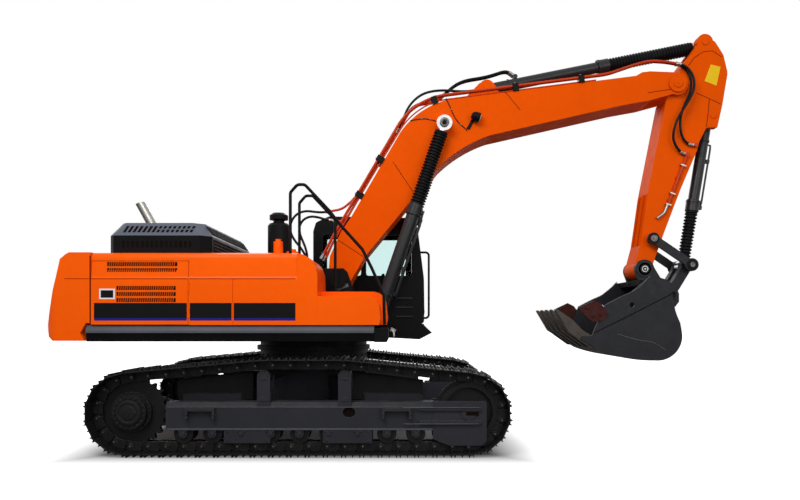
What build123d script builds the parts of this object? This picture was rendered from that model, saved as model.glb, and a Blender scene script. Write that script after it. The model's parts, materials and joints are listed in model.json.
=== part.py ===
from build123d import *
import os
from math import acos, atan2, cos, hypot, pi, radians, sin, tan

os.makedirs("parts", exist_ok=True)

# A crawler excavator in the 37 tonne class, parked with its arm tucked in and its bucket off the ground.
# Millimetres. X runs forward from the middle of the whole machine, Y to its left, Z up from the floor.
# Every other X in this file is counted from the swing axis, and a pair of numbers is (forward, up).

SWING_X = -1189
FIT = 0.3            # running gap at pins, rings and rods
CLEAR = 5            # gap between pieces that move past each other

# Tracks
TRACK_GAUGE = 2600
SHOE_WIDTH = 600
SHOE_PLATE = 12
SHOE_PITCH = 216
GROUSER = 30
LINK_HEIGHT = 118
RAIL_INNER = 45
RAIL_OUTER = 105
TUMBLER_X = 2035     # axle of the sprocket behind, and of the idler in front
TUMBLER_RADIUS = 490  # to the outer face of the shoe plates
CARRY_HEIGHT = 1160  # outer face of the shoe plates over the carrier rollers
CARRIER_X = (-430, 545)
CARRIER_RADIUS = 78
ROLLER_RADIUS = 100
ROLLER_X = (-1400, -1050, -700, -350, 0, 350, 700, 1050, 1400)
TUMBLER_FLATS = 10   # straight links round each tumbler
SPROCKET_TEETH = 24
SPROCKET_WIDTH = 76

# Track frames and centre frame
FRAME_LOW = 312
FRAME_TOP = 640
FRAME_REAR = -1605
FRAME_FRONT = 1625
FRAME_HALF = 150
LIP = 25
RING_RADIUS = 740
RING_BORE = 560
RING_LOW = 1000
RING_TOP = 1345

# House
BELLY = 1372
RAIL_LOW = 1474
DECK = 1570
HOUSE_HALF = 1490
HOUSE_TOP = 2440
CREASE = 2135
BAY_REAR = -2490
BAY_FRONT = -1320
TANK_SEAM = -790
TANK_FRONT = -17
TANK_NOSE = 222
DECK_REAR = -2550
DECK_FRONT = 900
PANEL = 45           # thickness of doors and hood walls
GAP = 5              # seam between panels
TAIL_CORNER = 180
HINGE_RADIUS = 11
HOOD_HINGE_RADIUS = 12
BAY_HINGES = ((1650, 1750), (1960, 2060))
LIFT_HOLE_RADIUS = 18
LIFT_HOLE_DEPTH = 60
LIFT_HOLE_Y = 900
LIFT_HOLE_X = -2850
TOW_EYE = (850, 640)  # forward, up
TOW_EYE_RADIUS = 32

# Cab
CAB_REAR = -80
CAB_FRONT = 1570
CAB_INNER = 540
CAB_OUTER = 1500
CAB_ROOF = 3150
CAB_WALL = 50
GLASS = 8

# Pins of the front, in the photograph's pose
BOOM_FOOT = (370, 2170)
ARM_PIVOT = (5010, 4870)
BOOM_CYLINDER_BASE = (910, 1680)
BOOM_CYLINDER_EYE = (1810, 4290)
ARM_CYLINDER_BASE = (2420, 4870)
ARM_CYLINDER_EYE = (5420, 5470)
BUCKET_CYLINDER_BASE = (5530, 4460)
LINK_JOINT = (5190, 2385)
IDLER_PIVOT = (4667, 2741)
BUCKET_PIVOT = (4565, 2330)
BUCKET_LINK = (4940, 1975)

# Widths of the front, each counted from the machine's middle plane
BOOM_HALF = 270
ARM_HALF = 200
BRACKET_INNER = 276
BRACKET_PLATE = 24
BOOM_CYLINDER_Y = 390
EAR_INNER = 206
EAR_OUTER = 266
IDLER_INNER = 284    # the idler links run outside the bucket's ears
IDLER_OUTER = 328
BUCKET_HALF = 700
BUCKET_SKIN = 35

# Cylinders: barrel radius, head radius, rod radius, boot radius, eye radius, half the eye's width
BOOM_CYLINDER = (85, 100, 52, 96, 105, 50)
ARM_CYLINDER = (76, 98, 52, 93, 100, 65)
BUCKET_CYLINDER = (74, 92, 48, 86, 92, 60)
HEAD_LENGTH = 150
PIN_RADIUS = 60
SMALL_PIN_RADIUS = 45


def side(y):
    """An upright plane facing the right side, with its origin below the swing axis."""
    return Plane(origin=(SWING_X, y, 0), x_dir=(1, 0, 0), z_dir=(0, -1, 0))


def plan(z):
    """A level plane with its origin on the swing axis."""
    return Plane(origin=(SWING_X, 0, z), x_dir=(1, 0, 0), z_dir=(0, 0, 1))


def across(x):
    """An upright plane facing forward, with x to the left and y up."""
    return Plane(origin=(SWING_X + x, 0, 0), x_dir=(0, 1, 0), z_dir=(1, 0, 0))


def block(x, y, z, mode=Mode.ADD):
    """A box between two values along each axis."""
    with BuildSketch(plan(z[0])) as foot:
        with Locations(((x[0] + x[1]) / 2, (y[0] + y[1]) / 2)):
            Rectangle(x[1] - x[0], y[1] - y[0])
    extrude(foot.sketch, amount=z[1] - z[0], mode=mode)


def disc(centre, y, radius, mode=Mode.ADD):
    """A round piece lying across the machine, between two values of y."""
    with BuildSketch(side(y[1])) as face:
        with Locations(centre):
            Circle(radius)
    extrude(face.sketch, amount=y[1] - y[0], mode=mode)


def plate(points, y, mode=Mode.ADD):
    """A plate with straight edges, standing along the machine between two values of y."""
    with BuildSketch(side(y[1])) as face:
        with BuildLine():
            Polyline(*points, close=True)
        make_face()
    extrude(face.sketch, amount=y[1] - y[0], mode=mode)


def bar(start, end, y, half, start_radius, end_radius, mode=Mode.ADD):
    """A flat link between two eyes, standing along the machine."""
    with BuildSketch(side(y[1])) as face:
        with BuildLine():
            along = (end[0] - start[0], end[1] - start[1])
            size = hypot(*along)
            nx, nz = -along[1] / size * half, along[0] / size * half
            Polyline(
                (start[0] + nx, start[1] + nz),
                (end[0] + nx, end[1] + nz),
                (end[0] - nx, end[1] - nz),
                (start[0] - nx, start[1] - nz),
                close=True,
            )
        make_face()
        with Locations(start):
            Circle(start_radius)
        with Locations(end):
            Circle(end_radius)
    extrude(face.sketch, amount=y[1] - y[0], mode=mode)


def along_plane(start, end, y):
    """A plane with its x from one pin towards another, to draw turned pieces on."""
    return Plane(
        origin=(SWING_X + start[0], y, start[1]),
        x_dir=(end[0] - start[0], 0, end[1] - start[1]),
        z_dir=(0, -1, 0),
    )


def turned(frame, outline, mode=Mode.ADD):
    """A turned piece about the frame's x: its outline is a list of (along, radius)."""
    with BuildSketch(frame) as half:
        with BuildLine():
            Polyline((outline[0][0], 0), *outline, (outline[-1][0], 0), close=True)
        make_face()
    revolve(half.sketch, axis=Axis(frame.origin, frame.x_dir), mode=mode)


def knuckle(x, y, z, radius, mode=Mode.ADD):
    """A hinge barrel standing upright between two heights."""
    with BuildSketch(plan(z[0])) as ring:
        with Locations((x, y)):
            Circle(radius)
    extrude(ring.sketch, amount=z[1] - z[0], mode=mode)


def half_hinges(x, y, heights, keeps_upper):
    """One leaf's share of upright hinges: its own barrels, and room for the other leaf's."""
    for low, high in heights:
        middle = (low + high) / 2
        upper, lower = (middle + FIT, high), (low, middle - FIT)
        own, other = (upper, lower) if keeps_upper else (lower, upper)
        knuckle(x, y, (other[0] - CLEAR, other[1] + CLEAR), HINGE_RADIUS + 1, Mode.SUBTRACT)
        knuckle(x, y, own, HINGE_RADIUS)


def save(piece, name):
    piece.part.label = name
    export_step(piece.part, f"parts/{name}.step")


def distance(a, b):
    return hypot(b[0] - a[0], b[1] - a[1])


# Track loop: a line along the floor, an arc round the idler, over the two carrier rollers, and round the sprocket.
# inset is how far inside the shoe plates' outer face the loop runs.
AXLE_Z = TUMBLER_RADIUS + GROUSER


def tangent_angle(carrier_x, tumbler_x, inset):
    """The angle on a tumbler where the upper run leaves it for a carrier roller."""
    over = (carrier_x - tumbler_x, CARRY_HEIGHT - inset - AXLE_Z)
    lean = acos((TUMBLER_RADIUS - inset) / hypot(*over))
    return atan2(over[1], over[0]) - lean if tumbler_x > carrier_x else atan2(over[1], over[0]) + lean


def loop_points(inset):
    """The corners of the loop: where each tumbler's arc starts and ends, and the two carrier points."""
    radius = TUMBLER_RADIUS - inset
    front = tangent_angle(CARRIER_X[1], TUMBLER_X, inset)
    rear = tangent_angle(CARRIER_X[0], -TUMBLER_X, inset)
    leave_front = (TUMBLER_X + radius * cos(front), AXLE_Z + radius * sin(front))
    reach_rear = (-TUMBLER_X + radius * cos(rear), AXLE_Z + radius * sin(rear))
    return radius, front, rear, leave_front, reach_rear


def flats(centre_x, radius, start, end):
    """The corners of the straight links that go round a tumbler."""
    step = (end - start) / TUMBLER_FLATS
    turns = [start + flat * step for flat in range(TUMBLER_FLATS + 1)]
    return [(centre_x + radius * cos(turn), AXLE_Z + radius * sin(turn)) for turn in turns]


def loop_face(inset):
    """The face inside the loop, straight from link to link."""
    radius, front, rear, leave_front, reach_rear = loop_points(inset)
    corners = [
        *flats(TUMBLER_X, radius, -pi / 2, front),
        (CARRIER_X[1], CARRY_HEIGHT - inset),
        (CARRIER_X[0], CARRY_HEIGHT - inset),
        *flats(-TUMBLER_X, radius, rear, 3 * pi / 2),
    ]
    with BuildSketch(side(0)) as face:
        with BuildLine():
            Polyline(*corners, close=True)
        make_face()
    return face.sketch


def track_stretches():
    """The loop at the shoe plates' outer face as (length, point at a distance, outward direction)."""
    radius, front, rear, leave_front, reach_rear = loop_points(0)
    corners = [
        ((-TUMBLER_X, GROUSER), (TUMBLER_X, GROUSER)),
        (TUMBLER_X, -pi / 2, front),
        (leave_front, (CARRIER_X[1], CARRY_HEIGHT)),
        ((CARRIER_X[1], CARRY_HEIGHT), (CARRIER_X[0], CARRY_HEIGHT)),
        ((CARRIER_X[0], CARRY_HEIGHT), reach_rear),
        (-TUMBLER_X, rear, 3 * pi / 2),
    ]
    return corners, radius


def on_track(s, height):
    """The point at a distance s round the loop and a height outside the shoe plates."""
    corners, radius = track_stretches()
    for corner in corners:
        if len(corner) == 2:
            (x0, z0), (x1, z1) = corner
            length = hypot(x1 - x0, z1 - z0)
            if s <= length:
                ux, uz = (x1 - x0) / length, (z1 - z0) / length
                return x0 + ux * s + uz * height, z0 + uz * s - ux * height
        else:
            centre, start, end = corner
            length = radius * (end - start)
            if s <= length:
                turn = start + s / radius
                return centre + (radius + height) * cos(turn), AXLE_Z + (radius + height) * sin(turn)
        s -= length
    return on_track(s, height)


def track_length():
    corners, radius = track_stretches()
    return sum(
        hypot(c[1][0] - c[0][0], c[1][1] - c[0][1]) if len(c) == 2 else radius * (c[2] - c[1]) for c in corners
    )


# One shoe with three grousers, as (share of the pitch, share of the grouser's height)
SHOE_OUTLINE = (
    (0.03, 0), (0.09, 1), (0.15, 0),
    (0.43, 0), (0.49, 0.85), (0.55, 0),
    (0.82, 0), (0.88, 1), (0.94, 0),
)
LOOP_LENGTH = track_length()
SHOES = round(LOOP_LENGTH / SHOE_PITCH)
PITCH = LOOP_LENGTH / SHOES
# Start of the first shoe, at which no grouser tip stands just off the floor where the straight run ends
FIRST_SHOE = -12
RIGHT = -TRACK_GAUGE / 2


def both_sides(y_from, y_to):
    """The same stretch of y on the right and on the left of a track's middle."""
    return ((y_from, y_to), (-y_to, -y_from))


def build_track(middle):
    shoe_points = [
        on_track(((shoe + share) * PITCH + FIRST_SHOE) % LOOP_LENGTH, height * GROUSER)
        for shoe in range(SHOES)
        for share, height in SHOE_OUTLINE
    ]
    with BuildPart() as track:
        plate(shoe_points, (middle - SHOE_WIDTH / 2, middle + SHOE_WIDTH / 2))
        inner = loop_face(SHOE_PLATE).moved(Location((0, middle + SHOE_WIDTH / 2, 0)))
        extrude(inner, amount=SHOE_WIDTH, mode=Mode.SUBTRACT)
        for y_from, y_to in both_sides(RAIL_INNER, RAIL_OUTER):
            with BuildPart(mode=Mode.PRIVATE) as rail:
                extrude(loop_face(SHOE_PLATE).moved(Location((0, middle + y_to, 0))), amount=y_to - y_from)
                extrude(
                    loop_face(SHOE_PLATE + LINK_HEIGHT).moved(Location((0, middle + y_to, 0))),
                    amount=y_to - y_from,
                    mode=Mode.SUBTRACT,
                )
            add(rail.part)
    return track


for name, middle in (("track_right", RIGHT), ("track_left", -RIGHT)):
    save(build_track(middle), name)

# Sprockets with their final drives: teeth between the link rails, a drum outside and a motor housing inside
RAIL_RADIUS = TUMBLER_RADIUS - SHOE_PLATE - LINK_HEIGHT
SPROCKET_TIP = RAIL_RADIUS + 62
SPROCKET_ROOT = RAIL_RADIUS + 18
FINAL_DRIVE_RADIUS = 245
HUB_RADIUS = 204


def tooth_points():
    step = 2 * pi / SPROCKET_TEETH
    outline = ((0.10, SPROCKET_ROOT), (0.36, SPROCKET_TIP), (0.58, SPROCKET_TIP), (0.84, SPROCKET_ROOT))
    return [
        (-TUMBLER_X + radius * cos((tooth + share) * step), AXLE_Z + radius * sin((tooth + share) * step))
        for tooth in range(SPROCKET_TEETH)
        for share, radius in outline
    ]


with BuildPart() as sprockets:
    plate(tooth_points(), (RIGHT - SPROCKET_WIDTH / 2, RIGHT + SPROCKET_WIDTH / 2))
    disc((-TUMBLER_X, AXLE_Z), (RIGHT - 110, RIGHT - 30), FINAL_DRIVE_RADIUS)
    disc((-TUMBLER_X, AXLE_Z), (RIGHT - 185, RIGHT - 105), HUB_RADIUS)
    disc((-TUMBLER_X, AXLE_Z), (RIGHT - 200, RIGHT - 180), HUB_RADIUS - 60)
    disc((-TUMBLER_X, AXLE_Z), (RIGHT + 30, RIGHT + 100), FINAL_DRIVE_RADIUS)
    mirror(about=Plane.XZ)
save(sprockets, "sprockets")

YOKE_INNER = 122
FRONT_TURN = pi / 2 + tangent_angle(CARRIER_X[1], TUMBLER_X, SHOE_PLATE + LINK_HEIGHT)
IDLER_RADIUS = RAIL_RADIUS * cos(FRONT_TURN / TUMBLER_FLATS / 2) - FIT
IDLER_DISH = 295
with BuildPart() as idlers:
    disc((TUMBLER_X, AXLE_Z), (RIGHT - RAIL_OUTER, RIGHT + RAIL_OUTER), IDLER_RADIUS)
    disc((TUMBLER_X, AXLE_Z), (RIGHT - RAIL_INNER + 5, RIGHT + RAIL_INNER - 5), IDLER_RADIUS + 40)
    for y_from, y_to in both_sides(35, RAIL_OUTER):
        disc((TUMBLER_X, AXLE_Z), (RIGHT + y_from, RIGHT + y_to), IDLER_DISH, Mode.SUBTRACT)
    disc((TUMBLER_X, AXLE_Z), (RIGHT - YOKE_INNER + FIT, RIGHT + YOKE_INNER - FIT), 90)
    mirror(about=Plane.XZ)
save(idlers, "idlers")

ROLLER_Z = GROUSER + SHOE_PLATE + LINK_HEIGHT + ROLLER_RADIUS + FIT
ROLLER_END = FRAME_HALF - LIP - FIT
with BuildPart() as lower_rollers:
    for x in ROLLER_X:
        disc((x, ROLLER_Z), (RIGHT - RAIL_OUTER - 1, RIGHT + RAIL_OUTER + 1), ROLLER_RADIUS - 22)
        for y_from, y_to in both_sides(RAIL_INNER - 5, RAIL_OUTER + 1):
            disc((x, ROLLER_Z), (RIGHT + y_from, RIGHT + y_to), ROLLER_RADIUS)
        for y_from, y_to in both_sides(RAIL_OUTER + 1, RAIL_OUTER + 11):
            disc((x, ROLLER_Z), (RIGHT + y_from, RIGHT + y_to), ROLLER_RADIUS + 16)
        disc((x, ROLLER_Z), (RIGHT - ROLLER_END, RIGHT + ROLLER_END), 50)
    mirror(about=Plane.XZ)
save(lower_rollers, "lower_rollers")

CARRIER_Z = CARRY_HEIGHT - SHOE_PLATE - LINK_HEIGHT - CARRIER_RADIUS - 3 * FIT
with BuildPart() as carrier_rollers:
    for x in CARRIER_X:
        disc((x, CARRIER_Z), (RIGHT - RAIL_OUTER, RIGHT + RAIL_OUTER), CARRIER_RADIUS)
        disc((x, CARRIER_Z), (RIGHT - 122, RIGHT + 122), 42)
    mirror(about=Plane.XZ)
save(carrier_rollers, "carrier_rollers")

# Track frames: a box with sloping top edges and a channel for the rollers below
POST_HALF = 78
YOKE_FRONT = 2249
YOKE_RIB = 40
with BuildPart() as track_frame:
    with BuildSketch(across(FRAME_REAR)) as section:
        with BuildLine():
            Polyline(
                (RIGHT - FRAME_HALF, FRAME_LOW),
                (RIGHT - FRAME_HALF, FRAME_TOP - 60),
                (RIGHT - FRAME_HALF + 45, FRAME_TOP),
                (RIGHT + FRAME_HALF - 45, FRAME_TOP),
                (RIGHT + FRAME_HALF, FRAME_TOP - 60),
                (RIGHT + FRAME_HALF, FRAME_LOW),
                (RIGHT + FRAME_HALF - LIP, FRAME_LOW),
                (RIGHT + FRAME_HALF - LIP, FRAME_LOW + 80),
                (RIGHT - FRAME_HALF + LIP, FRAME_LOW + 80),
                (RIGHT - FRAME_HALF + LIP, FRAME_LOW),
                close=True,
            )
        make_face()
    extrude(amount=FRAME_FRONT - FRAME_REAR)
    # Pads that hold the roller shafts
    for x in ROLLER_X:
        for y_from, y_to in both_sides(FRAME_HALF - LIP, FRAME_HALF):
            block((x - 50, x + 50), (RIGHT + y_from, RIGHT + y_to), (ROLLER_Z, FRAME_LOW))
            disc((x, ROLLER_Z), (RIGHT + y_from, RIGHT + y_to), 50)
    # Track guards between the rollers
    for x_from, x_to in ((-905, -350), (285, 875)):
        for y_from, y_to in both_sides(FRAME_HALF - LIP, FRAME_HALF):
            block((x_from, x_to), (RIGHT + y_from, RIGHT + y_to), (150, FRAME_LOW))
    # Carrier roller posts with their shafts' clamps
    for x in CARRIER_X:
        for y_from, y_to in both_sides(YOKE_INNER + FIT, FRAME_HALF):
            block((x - POST_HALF, x + POST_HALF), (RIGHT + y_from, RIGHT + y_to), (FRAME_TOP - 60, CARRIER_Z))
            disc((x, CARRIER_Z), (RIGHT + y_from, RIGHT + y_to), POST_HALF)
        block((x - POST_HALF, x + POST_HALF), (RIGHT - 110, RIGHT + 110), (FRAME_TOP, FRAME_TOP + 150))
    # Idler yoke: a plate on each side of the idler, with two ribs outside
    for y_from, y_to in both_sides(YOKE_INNER, FRAME_HALF + 10):
        plate(
            [
                (FRAME_FRONT - 20, 200),
                (1800, 122),
                (YOKE_FRONT - 60, 122),
                (YOKE_FRONT, 170),
                (YOKE_FRONT, 640),
                (YOKE_FRONT - 15, 655),
                (FRAME_FRONT - 20, 655),
            ],
            (RIGHT + y_from, RIGHT + y_to),
        )
    disc((TUMBLER_X, AXLE_Z), (RIGHT - FRAME_HALF - 22, RIGHT - FRAME_HALF - 10), 95)
    for low, high in ((385, 425), (545, 585)):
        block((1440, 2183), (RIGHT - FRAME_HALF - YOKE_RIB, RIGHT - FRAME_HALF), (low, high))
    block((2003, 2153), (RIGHT - FRAME_HALF - 20, RIGHT - FRAME_HALF - 5), (485, 530), Mode.SUBTRACT)
    # Final drive carrier behind
    plate(
        [
            (FRAME_REAR + 5, FRAME_LOW + 85),
            (-TUMBLER_X, AXLE_Z - 250),
            (-TUMBLER_X, AXLE_Z + 250),
            (FRAME_REAR + 5, FRAME_TOP - 5),
        ],
        (RIGHT + 105, RIGHT + FRAME_HALF),
    )
    disc((-TUMBLER_X, AXLE_Z), (RIGHT + 100 + FIT, RIGHT + FRAME_HALF), 262)
    # Steps on the outer side, and the grease window
    for x in (-1180, 1170):
        block((x - 175, x + 175), (RIGHT - FRAME_HALF - 70, RIGHT - FRAME_HALF), (540, 575))
        for end in (x - 175, x + 145):
            block((end, end + 30), (RIGHT - FRAME_HALF - 70, RIGHT - FRAME_HALF), (440, 540))
    with BuildSketch(side(RIGHT - FRAME_HALF + 30)) as window:
        with Locations((597, 520)):
            Ellipse(75, 60)
    extrude(window.sketch, amount=40, mode=Mode.SUBTRACT)
save(track_frame, "track_frame_right")
with BuildPart() as track_frame_left:
    add(mirror(track_frame.part, about=Plane.XZ, mode=Mode.PRIVATE))
save(track_frame_left, "track_frame_left")

# Centre frame: a box under the swing ring, with four legs to the track frames
FRAME_INNER = -RIGHT - FRAME_HALF
CENTRE_HALF = 760
with BuildPart() as centre_frame:
    block((-CENTRE_HALF, CENTRE_HALF), (-640, 640), (560, 960))
    with BuildSketch(plan(RING_LOW - 60)):
        Circle(RING_RADIUS - 20)
    extrude(amount=60)
    for fore in (-1, 1):
        with BuildSketch(Plane(origin=(SWING_X, -520, 0), x_dir=(1, 0, 0), z_dir=(0, -1, 0))):
            with Locations((fore * 430, 760)):
                Rectangle(560, 390)
        with BuildSketch(Plane(origin=(SWING_X, -FRAME_INNER, 0), x_dir=(1, 0, 0), z_dir=(0, -1, 0))):
            with Locations((fore * 1130, 545)):
                Rectangle(720, 330)
        loft()
    mirror(about=Plane.XZ)
save(centre_frame, "centre_frame")

# Towing eye: a plate on the centre frame's front face
with BuildPart() as tow_eye:
    block((CENTRE_HALF, TOW_EYE[0] + 60), (-70, 70), (TOW_EYE[1] - 20, TOW_EYE[1] + 20))
    knuckle(TOW_EYE[0], 0, (TOW_EYE[1] - 21, TOW_EYE[1] + 21), TOW_EYE_RADIUS, Mode.SUBTRACT)
save(tow_eye, "tow_eye")

with BuildPart() as swing_ring:
    with BuildSketch(plan(RING_LOW)):
        Circle(RING_RADIUS)
        Circle(RING_BORE, mode=Mode.SUBTRACT)
    extrude(amount=RING_TOP - RING_LOW)
    with BuildSketch(plan(RING_TOP - 120)):
        Circle(RING_RADIUS + 45)
        Circle(RING_BORE, mode=Mode.SUBTRACT)
    extrude(amount=60)
save(swing_ring, "swing_ring")

# Revolving frame: ring flange, belly box, deck plate and the two boom brackets
BRACKET_OUTER = BRACKET_INNER + BRACKET_PLATE
CYLINDER_BASE_HALF = BOOM_CYLINDER[5]
OUTER_PLATE_INNER = BOOM_CYLINDER_Y + BOOM_CYLINDER[0] + CLEAR
OUTER_PLATE_OUTER = OUTER_PLATE_INNER + 25
with BuildPart() as revolving_frame:
    with BuildSketch(plan(RING_TOP + FIT)):
        Circle(RING_RADIUS)
        Circle(RING_BORE, mode=Mode.SUBTRACT)
    extrude(amount=BELLY - RING_TOP)
    block((BAY_REAR + 40, 1050), (-540, 540), (BELLY, DECK - 60))
    block((BAY_REAR + 40, DECK_FRONT - 20), (-1400, -500), (RAIL_LOW + 20, DECK))
    block((BAY_REAR + 40, CAB_REAR), (500, 1400), (RAIL_LOW + 20, DECK))
    for y_from, y_to in both_sides(BRACKET_INNER, BRACKET_OUTER):
        plate(
            [
                (-900, DECK - 80),
                (-700, 1750),
                (60, 2010),
                (78, 2310),
                (115, 2335),
                (440, 2335),
                (490, 2290),
                (590, 2000),
                (720, 1930),
                (1000, 1790),
                (1050, 1700),
                (1050, BELLY + 10),
                (-900, BELLY + 10),
            ],
            (y_from, y_to),
        )
    for y_from, y_to in both_sides(BRACKET_OUTER, 360):
        disc(BOOM_FOOT, (y_from, y_to), 110)
    for y_from, y_to in both_sides(BRACKET_OUTER, BOOM_CYLINDER_Y - CYLINDER_BASE_HALF - CLEAR):
        disc(BOOM_CYLINDER_BASE, (y_from, y_to), 95)
    for y_from, y_to in both_sides(OUTER_PLATE_INNER, OUTER_PLATE_OUTER):
        plate([(700, DECK - 70), (780, 1730), (1040, 1730), (1050, DECK - 70)], (y_from, y_to))
        disc(BOOM_CYLINDER_BASE, (y_from, y_to), 130)
    for y_from, y_to in both_sides(BOOM_CYLINDER_Y + CYLINDER_BASE_HALF + CLEAR, OUTER_PLATE_INNER):
        disc(BOOM_CYLINDER_BASE, (y_from, y_to), 95)
    disc(BOOM_FOOT, (-360, 360), PIN_RADIUS)
    disc(BOOM_CYLINDER_BASE, (BRACKET_INNER, OUTER_PLATE_OUTER + 12), SMALL_PIN_RADIUS)
    disc(BOOM_CYLINDER_BASE, (-OUTER_PLATE_OUTER - 12, -BRACKET_INNER), SMALL_PIN_RADIUS)
save(revolving_frame, "revolving_frame")

# Side rails: a light rail with a sloping edge over a dark skirt
with BuildPart() as side_rails:
    for x_from, x_to, sign in ((DECK_REAR, DECK_FRONT, -1), (DECK_REAR, CAB_REAR, 1)):
        with BuildSketch(across(x_from)) as section:
            with BuildLine():
                Polyline(
                    (sign * 1400, RAIL_LOW),
                    (sign * (HOUSE_HALF + 5), RAIL_LOW),
                    (sign * (HOUSE_HALF + 5), RAIL_LOW + 30),
                    (sign * (HOUSE_HALF - 35), DECK - 2),
                    (sign * 1400, DECK - 2),
                    close=True,
                )
            make_face()
        extrude(section.sketch, amount=x_to - x_from)
save(side_rails, "side_rails")

with BuildPart() as skirts:
    for x_from, x_to, sign in ((DECK_REAR, DECK_FRONT, -1), (DECK_REAR, CAB_REAR, 1)):
        with BuildSketch(across(x_from)) as section:
            with BuildLine():
                Polyline(
                    (sign * 1380, BELLY),
                    (sign * (HOUSE_HALF - 30), BELLY),
                    (sign * (HOUSE_HALF - 10), RAIL_LOW),
                    (sign * 1380, RAIL_LOW),
                    close=True,
                )
            make_face()
        extrude(section.sketch, amount=x_to - x_from)
    plate(
        [(DECK_FRONT + FIT, BELLY - 8), (1050, BELLY - 8), (1068, 1400), (1068, 1533), (DECK_FRONT + FIT, 1533)],
        (-HOUSE_HALF + 10, -1100),
    )
save(skirts, "skirts")

# Counterweight: turned about the swing axis, cut to the house's width
# Radius about the swing axis at each height
TAIL_PROFILE = (
    (3160, 2420), (3222, 2360), (3244, 2250), (3265, 2145), (3298, 1990),
    (3330, 1750), (3350, 1570), (3342, 1430), (3298, BELLY + 8),
)
with BuildPart() as counterweight:
    with BuildSketch(Plane(origin=(SWING_X, 0, 0), x_dir=(-1, 0, 0), z_dir=(0, 1, 0))):
        with BuildLine():
            Polyline((2000, 2440), (3125, 2440), *TAIL_PROFILE, (2000, BELLY + 8), close=True)
        make_face()
    revolve(axis=Axis((SWING_X, 0, 0), (0, 0, 1)))
    with BuildSketch(plan(BELLY)) as plan_shape:
        with BuildLine():
            Polyline(
                (BAY_REAR, -HOUSE_HALF), (-3800, -HOUSE_HALF), (-3800, HOUSE_HALF), (BAY_REAR, HOUSE_HALF), close=True
            )
        make_face()
        with Locations((0, 0)):
            Circle(TAIL_PROFILE[6][0], mode=Mode.INTERSECT)
        fillet(plan_shape.vertices().group_by(Axis.X)[0], TAIL_CORNER)
    extrude(amount=HOUSE_TOP - BELLY, mode=Mode.INTERSECT)
    for y_from, y_to in both_sides(1380, HOUSE_HALF + 20):
        plate(
            [(BAY_REAR + 10, 1594), (-2545, 1594), (-2615, 1474), (-2555, 1360), (BAY_REAR + 10, 1360)],
            (y_from, y_to),
            Mode.SUBTRACT,
        )
    for y in (-LIFT_HOLE_Y, LIFT_HOLE_Y):
        knuckle(LIFT_HOLE_X, y, (HOUSE_TOP - LIFT_HOLE_DEPTH, HOUSE_TOP + 5), LIFT_HOLE_RADIUS, Mode.SUBTRACT)
save(counterweight, "counterweight")


def side_skin(sign, inner):
    """The section of the house's side, from its foot over the crease to the rounded top edge."""
    with BuildSketch(across(0)) as section:
        with BuildLine():
            Polyline(
                (sign * inner, DECK),
                (sign * HOUSE_HALF, DECK),
                (sign * HOUSE_HALF, CREASE - 15),
                (sign * (HOUSE_HALF - 12), CREASE + 15),
                (sign * (HOUSE_HALF - 30), HOUSE_TOP - 60),
                (sign * (HOUSE_HALF - 48), HOUSE_TOP - 18),
                (sign * (HOUSE_HALF - 90), HOUSE_TOP),
                (sign * inner, HOUSE_TOP),
                close=True,
            )
        make_face()
    return section.sketch


def skin_between(x_from, x_to, sign, inner):
    extrude(side_skin(sign, inner).moved(Location((x_from, 0, 0))), amount=x_to - x_from)


# Engine bay: a sill on each side over the doors, the engine below the hood
RIM_LOW = HOUSE_TOP - 100
HOOD_Y = (-1250, 1200)
HOOD_X = (-2370, -1130)
BAY_DOOR = (BAY_REAR + GAP, BAY_FRONT - GAP)
with BuildPart() as bay_rims:
    for sign in (-1, 1):
        skin_between(BAY_REAR, BAY_FRONT, sign, 1250)
        block(
            (BAY_REAR - 10, BAY_FRONT + 10),
            (min(sign * 1240, sign * 1600), max(sign * 1240, sign * 1600)),
            (DECK - 10, RIM_LOW),
            Mode.SUBTRACT,
        )
save(bay_rims, "bay_rims")

with BuildPart() as engine:
    block((-2250, -1560), (-700, 700), (1700, 2380))
    block((-2100, -1700), (-300, 300), (DECK - 60, 1700))
save(engine, "engine")


# Rows of upright slots in the rear doors, as (first x, last x, low z, high z, slots)
GRILLE_ROWS = (
    (-2297, -1459, 2276, 2324, 32), (-2297, -1459, 2205, 2252, 32),
    (-2177, -1471, 1989, 2037, 27), (-2177, -1471, 1917, 1965, 27), (-2177, -1471, 1845, 1893, 27),
)
GRILLE_DEPTH = 10
GRILLE_BAR = 12


def slot_rows(start, end, count):
    """Where each slot of a row starts, at even steps between two values."""
    step = (end - start) / count
    return [start + slot * step for slot in range(count)]


def build_door(sign):
    with BuildPart() as door:
        skin_between(*BAY_DOOR, sign, 1300)
        inside = HOUSE_HALF - PANEL
        block(
            (BAY_REAR, BAY_FRONT),
            (min(sign * 1300, sign * inside), max(sign * 1300, sign * inside)),
            (DECK - 10, HOUSE_TOP + 10),
            Mode.SUBTRACT,
        )
        block((BAY_REAR, BAY_FRONT), (-1600, 1600), (RIM_LOW - GAP, HOUSE_TOP + 10), Mode.SUBTRACT)
        block((BAY_REAR, BAY_FRONT), (-1600, 1600), (DECK - 10, DECK + GAP), Mode.SUBTRACT)
        half_hinges(BAY_FRONT, sign * HOUSE_HALF, BAY_HINGES, True)
        for x_from, x_to, low, high, count in GRILLE_ROWS:
            # The skin draws in above the crease
            face = HOUSE_HALF - (20 if low > CREASE else 0)
            width = (x_to - x_from) / count - GRILLE_BAR
            with BuildSketch(side(-face + GRILLE_DEPTH if sign < 0 else HOUSE_HALF + 5)) as slots:
                for x in slot_rows(x_from, x_to, count):
                    with Locations((x + width / 2, (low + high) / 2)):
                        Rectangle(width, high - low)
            extrude(slots.sketch, amount=GRILLE_DEPTH + HOUSE_HALF + 5 - face, mode=Mode.SUBTRACT)
    return door


save(build_door(-1), "right_door")
save(build_door(1), "left_door")

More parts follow.
